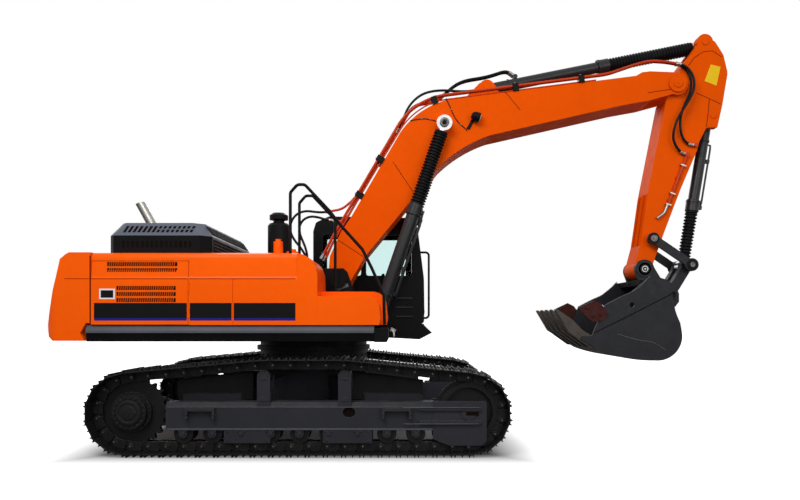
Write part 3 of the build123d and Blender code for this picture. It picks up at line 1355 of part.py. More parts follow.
# Bucket linkage
with BuildPart() as idler_links:
    for y_from, y_to in both_sides(IDLER_INNER, IDLER_OUTER):
        bar(IDLER_PIVOT, LINK_JOINT, (y_from, y_to), 55, 82, 88)
    for y_from, y_to in both_sides(BUCKET_CYLINDER[5] + CLEAR, IDLER_OUTER + 12):
        disc(LINK_JOINT, (y_from, y_to), SMALL_PIN_RADIUS)
    disc(IDLER_PIVOT, (-IDLER_OUTER - 1, IDLER_OUTER + 1), SMALL_PIN_RADIUS + FIT, Mode.SUBTRACT)
save(idler_links, "idler_links")

PUSH_INNER = 70
PUSH_OUTER = 190
with BuildPart() as push_link:
    for y_from, y_to in both_sides(PUSH_INNER, PUSH_OUTER):
        bar(LINK_JOINT, BUCKET_LINK, (y_from, y_to), 66, 90, 74)
    disc(BUCKET_LINK, (-PUSH_OUTER - 10, PUSH_OUTER + 10), 58)
    disc(LINK_JOINT, (-PUSH_OUTER - 1, PUSH_OUTER + 1), SMALL_PIN_RADIUS + FIT, Mode.SUBTRACT)
save(push_link, "push_link")

LIFT_EYE = (4249, 1827)
# Bucket: two side plates, a curved floor and back, and two pairs of ears
with BuildPart() as bucket:
    with BuildSketch(side(BUCKET_HALF)) as shell:
        with BuildLine():
            Polyline((4470, 2185), (4354, 2088), (4223, 1984), (4092, 1931), (3895, 1826), (3720, 1420), (3600, 1420))
            Polyline((3600, 1420), (3570, 1385), (3830, 1224))
            ThreePointArc((3830, 1224), (4180, 1128), (4550, 1099))
            ThreePointArc((4550, 1099), (4800, 1182), (4904, 1440))
            Polyline((4904, 1440), (4878, 1591), (4838, 1682), (4812, 1761), (4750, 2090), (4690, 2145), (4470, 2185))
        make_face()
    extrude(amount=2 * BUCKET_HALF)
    with BuildSketch(side(BUCKET_HALF - BUCKET_SKIN)) as hollow:
        with BuildLine():
            Polyline((4400, 2400), (4000, 2200), (3300, 1600), (3590, 1450), (3850, 1272))
            ThreePointArc((3850, 1272), (4190, 1170), (4550, 1140))
            ThreePointArc((4550, 1140), (4770, 1212), (4864, 1440))
            Polyline((4864, 1440), (4838, 1580), (4775, 1745), (4712, 2065), (4655, 2108), (4520, 2110), (4400, 2400))
        make_face()
    extrude(hollow.sketch, amount=2 * (BUCKET_HALF - BUCKET_SKIN), mode=Mode.SUBTRACT)
    for y_from, y_to in both_sides(EAR_INNER, EAR_OUTER):
        plate(
            [
                (4445, 2280), (4500, 2130), (4700, 2120), (4812, 1761), (4838, 1690), (4990, 1820), (5035, 1880),
                (5035, 1960), (5000, 2060), (4928, 2140), (4866, 2184), (4780, 2210), (4690, 2360),
            ],
            (y_from, y_to),
        )
        disc(BUCKET_PIVOT, (y_from, y_to), 130)
        disc(BUCKET_LINK, (y_from, y_to), 95)
    disc(BUCKET_PIVOT, (-EAR_OUTER - 12, EAR_OUTER + 12), PIN_RADIUS)
    disc(LIFT_EYE, (-BUCKET_HALF - 1, BUCKET_HALF + 1), 34, Mode.SUBTRACT)
save(bucket, "bucket")

TOOTH_TIP = (3252, 1765)
TOOTH_WIDTH = 115
with BuildPart() as bucket_teeth:
    for y in (-620, -310, 0, 310, 620):
        plate(
            [
                (3770, 1262), (3725, 1262), (3420, 1480), TOOTH_TIP, (3268, 1775), (3480, 1630), (3600, 1500),
                (3700, 1440), (3790, 1340),
            ],
            (y - TOOTH_WIDTH / 2, y + TOOTH_WIDTH / 2),
        )
    add(bucket.part, mode=Mode.SUBTRACT)
    remainder = [solid for solid in bucket_teeth.part.solids() if solid.volume < 100000]
    for solid in remainder:
        add(solid, mode=Mode.SUBTRACT)
save(bucket_teeth, "bucket_teeth")

CUTTER = ((3534, 1787), (3743, 1885), (3834, 1839), (3926, 1721), (3860, 1630), (3717, 1604), (3599, 1708))
with BuildPart() as side_cutters:
    for y_from, y_to in both_sides(BUCKET_HALF, BUCKET_HALF + 40):
        plate(CUTTER, (y_from, y_to))
save(side_cutters, "side_cutters")
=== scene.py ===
"""Looks of the crawler excavator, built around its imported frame.

Lengths are in metres. A point in spot() is in millimetres from the swing axis and the floor, as part.py gives
it, and a place in seen() or traced() is in the photograph's pixels.
"""

import json
import math

import bmesh
import bpy
from mathutils import Matrix, Vector
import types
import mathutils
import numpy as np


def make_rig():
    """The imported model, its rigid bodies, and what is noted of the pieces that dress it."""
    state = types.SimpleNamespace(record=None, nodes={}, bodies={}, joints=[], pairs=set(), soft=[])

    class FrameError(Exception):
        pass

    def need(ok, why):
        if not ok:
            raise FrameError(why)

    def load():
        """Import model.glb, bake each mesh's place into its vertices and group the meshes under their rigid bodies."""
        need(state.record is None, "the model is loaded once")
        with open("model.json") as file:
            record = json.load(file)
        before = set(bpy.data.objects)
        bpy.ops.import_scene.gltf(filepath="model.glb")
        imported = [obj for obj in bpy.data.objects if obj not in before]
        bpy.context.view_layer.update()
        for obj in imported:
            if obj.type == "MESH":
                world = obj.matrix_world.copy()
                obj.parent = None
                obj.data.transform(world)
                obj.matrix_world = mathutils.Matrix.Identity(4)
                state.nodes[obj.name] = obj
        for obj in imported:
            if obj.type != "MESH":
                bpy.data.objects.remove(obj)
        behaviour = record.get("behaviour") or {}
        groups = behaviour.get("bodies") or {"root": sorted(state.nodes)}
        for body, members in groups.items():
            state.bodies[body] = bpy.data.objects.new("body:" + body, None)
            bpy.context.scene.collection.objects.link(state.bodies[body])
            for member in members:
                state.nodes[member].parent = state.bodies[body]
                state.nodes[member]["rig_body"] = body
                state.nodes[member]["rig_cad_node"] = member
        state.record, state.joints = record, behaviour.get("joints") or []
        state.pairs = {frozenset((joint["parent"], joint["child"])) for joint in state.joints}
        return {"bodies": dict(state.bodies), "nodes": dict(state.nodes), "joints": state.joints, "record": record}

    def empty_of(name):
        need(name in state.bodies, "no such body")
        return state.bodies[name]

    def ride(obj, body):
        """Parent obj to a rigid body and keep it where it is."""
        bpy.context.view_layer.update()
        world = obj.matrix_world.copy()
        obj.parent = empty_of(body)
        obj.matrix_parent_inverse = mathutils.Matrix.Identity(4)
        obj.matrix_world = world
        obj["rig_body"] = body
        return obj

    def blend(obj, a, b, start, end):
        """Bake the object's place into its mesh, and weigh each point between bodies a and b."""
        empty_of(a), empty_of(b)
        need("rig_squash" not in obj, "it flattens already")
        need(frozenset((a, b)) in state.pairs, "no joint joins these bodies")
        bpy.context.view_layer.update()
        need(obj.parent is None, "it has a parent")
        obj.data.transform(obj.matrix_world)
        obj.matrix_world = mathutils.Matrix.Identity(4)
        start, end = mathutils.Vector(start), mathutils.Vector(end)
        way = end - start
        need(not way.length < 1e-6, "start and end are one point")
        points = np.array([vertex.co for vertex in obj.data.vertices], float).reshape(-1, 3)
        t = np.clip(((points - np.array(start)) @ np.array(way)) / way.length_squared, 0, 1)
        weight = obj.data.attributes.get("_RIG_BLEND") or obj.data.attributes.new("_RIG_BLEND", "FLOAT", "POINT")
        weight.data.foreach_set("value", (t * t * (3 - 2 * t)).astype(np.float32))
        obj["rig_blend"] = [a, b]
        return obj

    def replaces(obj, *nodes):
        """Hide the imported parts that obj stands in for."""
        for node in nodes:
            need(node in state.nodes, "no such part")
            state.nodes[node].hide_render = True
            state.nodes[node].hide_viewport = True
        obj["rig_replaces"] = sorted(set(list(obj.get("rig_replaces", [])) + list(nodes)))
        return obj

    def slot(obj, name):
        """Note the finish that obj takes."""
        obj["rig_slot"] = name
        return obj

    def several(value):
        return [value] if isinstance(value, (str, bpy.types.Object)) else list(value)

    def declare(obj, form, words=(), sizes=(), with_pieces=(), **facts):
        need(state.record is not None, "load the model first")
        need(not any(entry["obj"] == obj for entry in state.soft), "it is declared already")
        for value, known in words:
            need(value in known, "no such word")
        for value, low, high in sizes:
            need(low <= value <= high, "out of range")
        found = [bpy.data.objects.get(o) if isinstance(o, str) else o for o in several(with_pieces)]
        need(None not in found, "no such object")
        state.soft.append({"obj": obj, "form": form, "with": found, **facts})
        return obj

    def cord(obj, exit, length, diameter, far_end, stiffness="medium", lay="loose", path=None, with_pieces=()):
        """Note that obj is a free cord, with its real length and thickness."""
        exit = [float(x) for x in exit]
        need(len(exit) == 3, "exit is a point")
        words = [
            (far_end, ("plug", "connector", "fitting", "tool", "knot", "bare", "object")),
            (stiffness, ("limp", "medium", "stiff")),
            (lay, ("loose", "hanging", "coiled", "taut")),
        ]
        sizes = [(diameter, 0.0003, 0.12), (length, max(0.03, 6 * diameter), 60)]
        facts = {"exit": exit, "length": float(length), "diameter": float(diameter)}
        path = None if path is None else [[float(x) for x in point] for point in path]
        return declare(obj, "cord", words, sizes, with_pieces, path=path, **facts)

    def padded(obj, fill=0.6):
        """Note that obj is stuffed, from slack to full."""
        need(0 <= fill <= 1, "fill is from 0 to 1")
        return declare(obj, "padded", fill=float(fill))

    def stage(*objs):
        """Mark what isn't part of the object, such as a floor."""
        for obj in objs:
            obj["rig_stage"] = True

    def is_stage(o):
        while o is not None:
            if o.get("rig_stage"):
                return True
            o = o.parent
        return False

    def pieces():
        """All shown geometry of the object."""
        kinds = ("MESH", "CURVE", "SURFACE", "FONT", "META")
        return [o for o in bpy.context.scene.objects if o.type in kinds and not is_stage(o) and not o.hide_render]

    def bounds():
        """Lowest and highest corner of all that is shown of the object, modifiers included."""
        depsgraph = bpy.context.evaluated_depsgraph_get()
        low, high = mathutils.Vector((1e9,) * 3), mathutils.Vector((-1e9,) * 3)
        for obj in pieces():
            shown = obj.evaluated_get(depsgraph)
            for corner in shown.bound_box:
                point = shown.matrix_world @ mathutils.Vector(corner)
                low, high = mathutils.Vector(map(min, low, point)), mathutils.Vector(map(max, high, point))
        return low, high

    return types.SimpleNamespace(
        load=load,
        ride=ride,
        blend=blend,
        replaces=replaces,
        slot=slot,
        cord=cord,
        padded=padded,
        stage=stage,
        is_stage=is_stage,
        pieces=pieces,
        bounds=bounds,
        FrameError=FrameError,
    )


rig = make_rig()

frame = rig.load()
CAD_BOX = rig.bounds()
SWING_X = {joint["name"]: joint for joint in frame["joints"]}["swing"]["pos_m"][0]
SLOT_OF = {part["node"]: part["material_slot"] for part in frame["record"]["subparts"]}
RIGHT, LEFT = Vector((0, -1, 0)), Vector((0, 1, 0))
FORWARD, UP = Vector((1, 0, 0)), Vector((0, 0, 1))


# Materials

LOOKS = {}
DUST = (0.30, 0.26, 0.22)
SOIL = (0.10, 0.08, 0.065)
BARE_METAL = (0.32, 0.30, 0.28)


class Shader:
    """A material's node tree, with short calls for its usual nodes. It is listed in LOOKS by its name."""

    def __init__(self, name):
        self.material = LOOKS[name] = bpy.data.materials.new(name)
        self.material.use_nodes = True
        self.tree = self.material.node_tree
        self.surface = self.tree.nodes["Principled BSDF"]

    def node(self, kind, links=None, **values):
        made = self.tree.nodes.new(kind)
        for name, value in values.items():
            if name in made.inputs:
                made.inputs[name].default_value = value
            else:
                setattr(made, name, value)
        for name, source in (links or {}).items():
            self.tree.links.new(source, made.inputs[name])
        return made

    def set(self, name, value):
        self.surface.inputs[name].default_value = value

    def feed(self, name, source):
        self.tree.links.new(source, self.surface.inputs[name])

    def place(self):
        return self.node("ShaderNodeTexCoord").outputs["Object"]

    def noise(self, scale, detail, rough=0.55):
        values = {"Scale": scale, "Detail": detail, "Roughness": rough}
        return self.node("ShaderNodeTexNoise", {"Vector": self.place()}, **values).outputs["Fac"]

    def spread(self, source, low, high, to_low=0.0, to_high=1.0):
        made = self.node("ShaderNodeMapRange", {"Value": source}, clamp=True)
        for name, value in (("From Min", low), ("From Max", high), ("To Min", to_low), ("To Max", to_high)):
            made.inputs[name].default_value = value
        return made.outputs["Result"]

    def patches(self, scale, detail, low, high, rough=0.55):
        return self.spread(self.noise(scale, detail, rough), low, high)

    def roughness(self, scale, detail, low, high, least, most):
        self.feed("Roughness", self.spread(self.noise(scale, detail), low, high, least, most))

    def fill(self, socket, value):
        if isinstance(value, bpy.types.NodeSocket):
            self.tree.links.new(value, socket)
        else:
            socket.default_value = value

    def mix(self, factor, first, second):
        made = self.node("ShaderNodeMix", data_type="RGBA")
        self.tree.links.new(factor, made.inputs["Factor"])
        colours = [socket for socket in made.inputs if socket.type == "RGBA"]
        for socket, value in zip(colours, (first, second)):
            self.fill(socket, (*value, 1.0) if isinstance(value, tuple) else value)
        return [socket for socket in made.outputs if socket.type == "RGBA"][0]

    def arithmetic(self, operation, *terms):
        made = self.node("ShaderNodeMath", operation=operation)
        for socket, term in zip(made.inputs, terms):
            self.fill(socket, term)
        return made.outputs[0]

    def times(self, first, second):
        return self.arithmetic("MULTIPLY", first, second)

    def rounded(self, radius):
        return self.node("ShaderNodeBevel", samples=4, Radius=radius).outputs["Normal"]

    def edges(self, radius):
        """1 on sharp edges and 0 on flats."""
        flat = self.node("ShaderNodeNewGeometry").outputs["Normal"]
        dot = self.node("ShaderNodeVectorMath", operation="DOT_PRODUCT")
        self.tree.links.new(self.rounded(radius), dot.inputs[0])
        self.tree.links.new(flat, dot.inputs[1])
        return self.spread(dot.outputs["Value"], 0.995, 0.86)

    def upward(self):
        """1 on what faces up and 0 on walls."""
        normal = self.node("ShaderNodeNewGeometry").outputs["Normal"]
        parts = self.node("ShaderNodeSeparateXYZ", {"Vector": normal})
        return self.spread(parts.outputs["Z"], 0.3, 0.95)

    def relief(self, height, strength, depth, radius=0.0):
        made = self.node("ShaderNodeBump", {"Height": height}, Strength=strength, Distance=depth)
        if radius:
            self.tree.links.new(self.rounded(radius), made.inputs["Normal"])
        self.feed("Normal", made.outputs["Normal"])


def shaded(colour, share):
    return tuple(min(1.0, value * share) for value in colour)


def painted(name, colour, rough=0.35, patch=0.06, coat=0.0, dust=0.0, wear=0.0, peel=0.15, gloss=0.4):
    """Paint on steel: soft patches, fine peel, rounded edges, worn corners and dust on what faces up."""
    shader = Shader(name)
    soft = shader.patches(1.4, 5.0, 0.3, 0.7)
    tone = shader.mix(soft, shaded(colour, 1 - patch), shaded(colour, 1 + patch))
    grime = shader.patches(11.0, 8.0, 0.45, 0.8, 0.65)
    tone = shader.mix(shader.times(grime, patch * 2.5), tone, shaded(colour, 0.55))
    if dust:
        lying = shader.times(shader.upward(), shader.patches(5.0, 6.0, 0.3, 0.7))
        tone = shader.mix(shader.times(lying, dust), tone, DUST)
    if wear:
        scuffed = shader.times(shader.edges(0.008), shader.patches(24.0, 7.0, 0.42, 0.62, 0.7))
        tone = shader.mix(shader.times(scuffed, wear), tone, BARE_METAL)
    shader.feed("Base Color", tone)
    shader.roughness(7.0, 6.0, 0.3, 0.75, rough * 0.8, min(1.0, rough * 1.25))
    shader.relief(shader.noise(160.0, 2.0), peel, 0.002, 0.006)
    shader.set("Specular IOR Level", gloss)
    if coat:
        shader.set("Coat Weight", coat)
        shader.set("Coat Roughness", 0.12)


def rough_steel(name, colour, rough, metal, wear, bare, dirt=0.15):
    """Cast or rolled steel with scale, scratches and polished corners."""
    shader = Shader(name)
    tone = shader.mix(shader.patches(3.0, 8.0, 0.3, 0.7, 0.7), shaded(colour, 0.8), shaded(colour, 1.2))
    tone = shader.mix(shader.times(shader.patches(18.0, 8.0, 0.5, 0.75, 0.7), dirt), tone, SOIL)
    scuffed = shader.times(shader.edges(0.006), shader.patches(30.0, 6.0, 0.38, 0.6, 0.7))
    tone = shader.mix(shader.times(scuffed, wear), tone, bare)
    shader.feed("Base Color", tone)
    shader.roughness(14.0, 7.0, 0.3, 0.7, rough * 0.75, min(1.0, rough * 1.2))
    shader.relief(shader.noise(60.0, 8.0, 0.65), 0.35, 0.004, 0.004)
    shader.set("Metallic", metal)
    shader.set("Specular IOR Level", 0.15)


def polished(name, colour, rough):
    shader = Shader(name)
    shader.feed("Base Color", shader.mix(shader.noise(40.0, 5.0), shaded(colour, 0.86), colour))
    shader.roughness(25.0, 6.0, 0.3, 0.7, rough * 0.7, rough * 1.5)
    shader.relief(shader.noise(220.0, 2.0), 0.05, 0.001, 0.002)
    shader.set("Metallic", 1.0)


def rubber(name, colour, rough):
    shader = Shader(name)
    shader.feed("Base Color", shader.mix(shader.patches(6.0, 6.0, 0.35, 0.7), colour, shaded(colour, 2.2)))
    shader.roughness(20.0, 5.0, 0.3, 0.7, rough * 0.85, rough * 1.1)
    shader.relief(shader.noise(300.0, 3.0), 0.2, 0.001)
    shader.set("Specular IOR Level", 0.12)


def pane(name, colour):
    shader = Shader(name)
    shader.set("Base Color", (*colour, 1.0))
    shader.set("Transmission Weight", 1.0)
    shader.set("IOR", 1.1)
    shader.roughness(9.0, 4.0, 0.4, 0.7, 0.0, 0.04)


def woven(name, colour):
    shader = Shader(name)
    made = shader.node("ShaderNodeTexWave", {"Vector": shader.place()}, Scale=120.0, Distortion=0.6)
    wave = made.outputs["Fac"]
    shader.feed("Base Color", shader.mix(wave, shaded(colour, 0.6), shaded(colour, 1.5)))
    shader.relief(wave, 0.3, 0.001)
    shader.set("Roughness", 0.9)
    shader.set("Sheen Weight", 0.3)


painted("orange_paint", (0.94, 0.106, 0.0), 0.30, coat=0.05, patch=0.03, gloss=0.05)
# Boom and arm: the body's orange paint made darker, a painted shade
painted("boom_paint", (0.80, 0.087, 0.0), 0.45, patch=0.05, gloss=0.02)
painted("black_paint", (0.0040, 0.0040, 0.0045), 0.38, dust=0.02, patch=0.15, gloss=0.08)
painted("barrel_paint", (0.016, 0.016, 0.018), 0.34, dust=0.03, patch=0.12, gloss=0.25)
painted("undercarriage_black", (0.024, 0.0245, 0.031), 0.48, dust=0.10, wear=0.2, patch=0.12, gloss=0.12)
painted("running_black", (0.0085, 0.0085, 0.009), 0.50, dust=0.06, wear=0.15, patch=0.2, gloss=0.12)
painted("grey_paint", (0.080, 0.083, 0.100), 0.36, dust=0.05, patch=0.10, gloss=0.15)
painted("slate_paint", (0.100, 0.112, 0.145), 0.40, dust=0.05, patch=0.08, gloss=0.12)
rough_steel("track_steel", (0.010, 0.010, 0.0105), 0.50, 0.40, 0.35, (0.20, 0.19, 0.18))
rough_steel("cast_iron", (0.06, 0.06, 0.062), 0.7, 0.3, 0.3, (0.2, 0.2, 0.2))
rough_steel("bucket_grey", (0.0175, 0.018, 0.022), 0.5, 0.1, 0.35, (0.10, 0.10, 0.10), dirt=0.03)
rough_steel("cutter_red", (0.040, 0.006, 0.005), 0.6, 0.1, 0.3, (0.12, 0.05, 0.04), dirt=0.1)
rough_steel("tooth_steel", (0.055, 0.047, 0.040), 0.5, 0.35, 0.5, (0.26, 0.245, 0.225), dirt=0.35)
rough_steel("chain_steel", (0.011, 0.011, 0.0115), 0.5, 0.4, 0.4, (0.20, 0.19, 0.18))
polished("bright_steel", (0.34, 0.335, 0.31), 0.32)
polished("rod_chrome", (0.80, 0.81, 0.83), 0.12)
polished("pin_steel", (0.13, 0.128, 0.124), 0.42)
rubber("boot_rubber", (0.0035, 0.0035, 0.004), 0.5)
rubber("hose_rubber", (0.004, 0.004, 0.004), 0.40)
pane("cab_glass", (0.80, 0.93, 0.92))
woven("seat_cloth", (0.025, 0.025, 0.028))
painted("pipe_red", (0.52, 0.040, 0.003), 0.38, patch=0.12, gloss=0.15)
painted("stripe_blue", (0.010, 0.014, 0.22), 0.35, gloss=0.1, peel=0.05)
painted("stripe_black", (0.0055, 0.0055, 0.006), 0.35, gloss=0.08, peel=0.05)
# Near-black for sheets laid in slots, openings and gaps: painted shade
painted("slot_dark", (0.006, 0.003, 0.002), 0.8, gloss=0.05)
# A darker orange for lines along creases and ribs: painted shade
painted("crease_orange", (0.50, 0.042, 0.0), 0.5, gloss=0.03)
painted("matte_orange", (0.86, 0.080, 0.0), 0.7, patch=0.05, gloss=0.0)
painted("seam_dark", (0.16, 0.020, 0.004), 0.7, gloss=0.05)
# A lighter grey for edges, ribs and beads of dark parts: painted highlight, with real wear and dust
painted("edge_steel", (0.060, 0.063, 0.075), 0.42, dust=0.1, wear=0.3, gloss=0.2)
painted("lamp_glass", (0.45, 0.48, 0.50), 0.10, coat=1.0)
painted("white_paint", (0.75, 0.75, 0.74), 0.4)
painted("label_yellow", (0.83, 0.52, 0.005), 0.45, gloss=0.15)

# Looks of frame nodes that differ from their slot's, and slots of looks that are no slot themselves
NODE_LOOKS = {
    "boom": "boom_paint", "arm": "boom_paint", "cab_shell": "black_paint", "cab_door": "black_paint",
    "bucket_teeth": "tooth_steel", "swing_ring": "black_paint", "sprockets": "running_black",
    "idlers": "running_black", "lower_rollers": "running_black", "carrier_rollers": "running_black",
    "boom_cylinder_barrel": "barrel_paint", "arm_cylinder_barrel": "barrel_paint",
    "bucket_cylinder_barrel": "barrel_paint",
}
LOOK_SLOTS = {
    "boom_paint": "orange_paint", "barrel_paint": "black_paint", "running_black": "undercarriage_black",
    "tooth_steel": "cutter_red", "chain_steel": "track_steel", "pin_steel": "bright_steel",
    "stripe_blue": "black_paint", "stripe_black": "black_paint", "slot_dark": "black_paint",
    "crease_orange": "orange_paint", "matte_orange": "orange_paint", "seam_dark": "orange_paint",
    "edge_steel": "undercarriage_black", "lamp_glass": "cab_glass", "white_paint": "grey_paint",
    "label_yellow": "orange_paint",
}
for node_name, node_object in frame["nodes"].items():
    node_object.data.materials.clear()
    node_object.data.materials.append(LOOKS[NODE_LOOKS.get(node_name, SLOT_OF[node_name])])


# Stage: a white floor that keeps the shadow and carries a painted shadow under the tracks, a white world and soft lamps

# Half the floor's patch of painted shadow under the tracks, and how far its rim reaches in and out
SHADED_HALVES = (("X", SWING_X, 2.50), ("Y", 0.0, 1.55))
RIM_IN, RIM_OUT = 0.2, 0.75
# FLOOR_SHADED is the floor's colour under the tracks: a painted shadow
FLOOR_SHADED, FLOOR_BRIGHT, FLOOR_BOUNCE = (0.26, 0.26, 0.26), (0.86, 0.86, 0.86), (0.24, 0.23, 0.22)
WORLD_LIGHT = 0.52


def build_floor():
    """The floor glows white for the camera, but less near the tracks, so that it keeps their shadow; its colour also
    darkens there, a painted shadow.
    """
    bpy.ops.mesh.primitive_plane_add(size=160, location=(0, 0, -0.002))
    floor = bpy.context.object
    floor.name = "floor"
    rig.stage(floor)
    shader = Shader("floor_white")
    shader.set("Roughness", 0.9)
    shader.set("Specular IOR Level", 0.0)
    parts = shader.node("ShaderNodeSeparateXYZ", {"Vector": shader.place()})
    reach = []
    for axis, centre, half in SHADED_HALVES:
        offset = shader.arithmetic("ABSOLUTE", shader.arithmetic("SUBTRACT", parts.outputs[axis], centre))
        reach.append(shader.spread(offset, half - RIM_IN, half + RIM_OUT))
    farther = shader.arithmetic("MAXIMUM", *reach)
    camera_ray = shader.node("ShaderNodeLightPath").outputs["Is Camera Ray"]
    # Painted shadow: the floor's colour darkens toward the tracks
    shown = shader.mix(farther, FLOOR_SHADED, FLOOR_BRIGHT)
    shader.feed("Base Color", shader.mix(camera_ray, FLOOR_BOUNCE, shown))
    glow = shader.node("ShaderNodeEmission", Color=(1, 1, 1, 1))
    strength = shader.times(shader.spread(farther, 0.0, 1.0, 0.01, 1.0), camera_ray)
    shader.tree.links.new(strength, glow.inputs["Strength"])
    both = shader.node("ShaderNodeAddShader")
    shader.tree.links.new(shader.surface.outputs[0], both.inputs[0])
    shader.tree.links.new(glow.outputs[0], both.inputs[1])
    shader.tree.links.new(both.outputs[0], shader.tree.nodes["Material Output"].inputs["Surface"])
    floor.data.materials.append(shader.material)


def build_world():
    """White to the camera, in glass and in metal, and dimmer as a light."""
    world = bpy.data.worlds.new("white_room")
    bpy.context.scene.world = world
    world.use_nodes = True
    tree = world.node_tree
    path = tree.nodes.new("ShaderNodeLightPath")
    shown = path.outputs["Is Camera Ray"]
    for ray in ("Is Transmission Ray", "Is Glossy Ray"):
        most = tree.nodes.new("ShaderNodeMath")
        most.operation = "MAXIMUM"
        tree.links.new(shown, most.inputs[0])
        tree.links.new(path.outputs[ray], most.inputs[1])
        shown = most.outputs[0]
    strength = tree.nodes.new("ShaderNodeMapRange")
    strength.inputs["To Min"].default_value = WORLD_LIGHT
    strength.inputs["To Max"].default_value = 1.0
    tree.links.new(shown, strength.inputs["Value"])
    background = tree.nodes["Background"]
    background.inputs["Color"].default_value = (1, 1, 1, 1)
    tree.links.new(strength.outputs["Result"], background.inputs["Strength"])


def lamp(name, place, aim, size, power):
    light = bpy.data.lights.new(name, "AREA")
    light.shape = "RECTANGLE"
    light.size, light.size_y = size
    light.energy = power
    holder = bpy.data.objects.new(name, light)
    holder.location = place
    holder.rotation_euler = (Vector(aim) - Vector(place)).to_track_quat("-Z", "Y").to_euler()
    bpy.context.scene.collection.objects.link(holder)


# The photograph's camera: it looks left, level, and its focal length is also known in the picture's pixels
CAMERA_X, CAMERA_Y, CAMERA_Z = SWING_X + 1.21, -9.83, 1.63
FOCAL_PIXELS, MIDDLE_PIXEL, HORIZON_PIXEL = 697, 400, 320


def build_camera():
    camera = bpy.data.cameras.new("camera")
    camera.lens = 31.4
    camera.sensor_width = 36.0
    camera.shift_y = 0.0875
    holder = bpy.data.objects.new("camera", camera)
    holder.location = (CAMERA_X, CAMERA_Y, CAMERA_Z)
    holder.rotation_euler = (math.radians(90), 0, 0)
    bpy.context.scene.collection.objects.link(holder)
    bpy.context.scene.camera = holder


# Shapes


def spot(x, z, y=0.0):
    """A point as part.py gives it, in millimetres from the swing axis and the floor, in metres."""
    return Vector((SWING_X + x / 1000, y / 1000, z / 1000))


def level(y, pairs):
    """Points (x, y, z) of a route that stays at one y."""
    return tuple((x, y, z) for x, z in pairs)


def beside(point, y):
    """The point at another y."""
    return Vector((point.x, y, point.z))


def seen(across, down, y):
    """The point on a plane of the object that the photograph shows at a place in its frame."""
    scale = (y - CAMERA_Y) / FOCAL_PIXELS
    return Vector((CAMERA_X + (across - MIDDLE_PIXEL) * scale, y, CAMERA_Z + (HORIZON_PIXEL - down) * scale))


def traced(line, y):
    return [seen(across, down, y) for across, down in line]


def circle(axis, side, radius, count):
    """Offsets evenly round an axis, from a side on."""
    other = axis.cross(side)
    turns = [2 * math.pi * step / count for step in range(count)]
    return [(side * math.cos(turn) + other * math.sin(turn)) * radius for turn in turns]


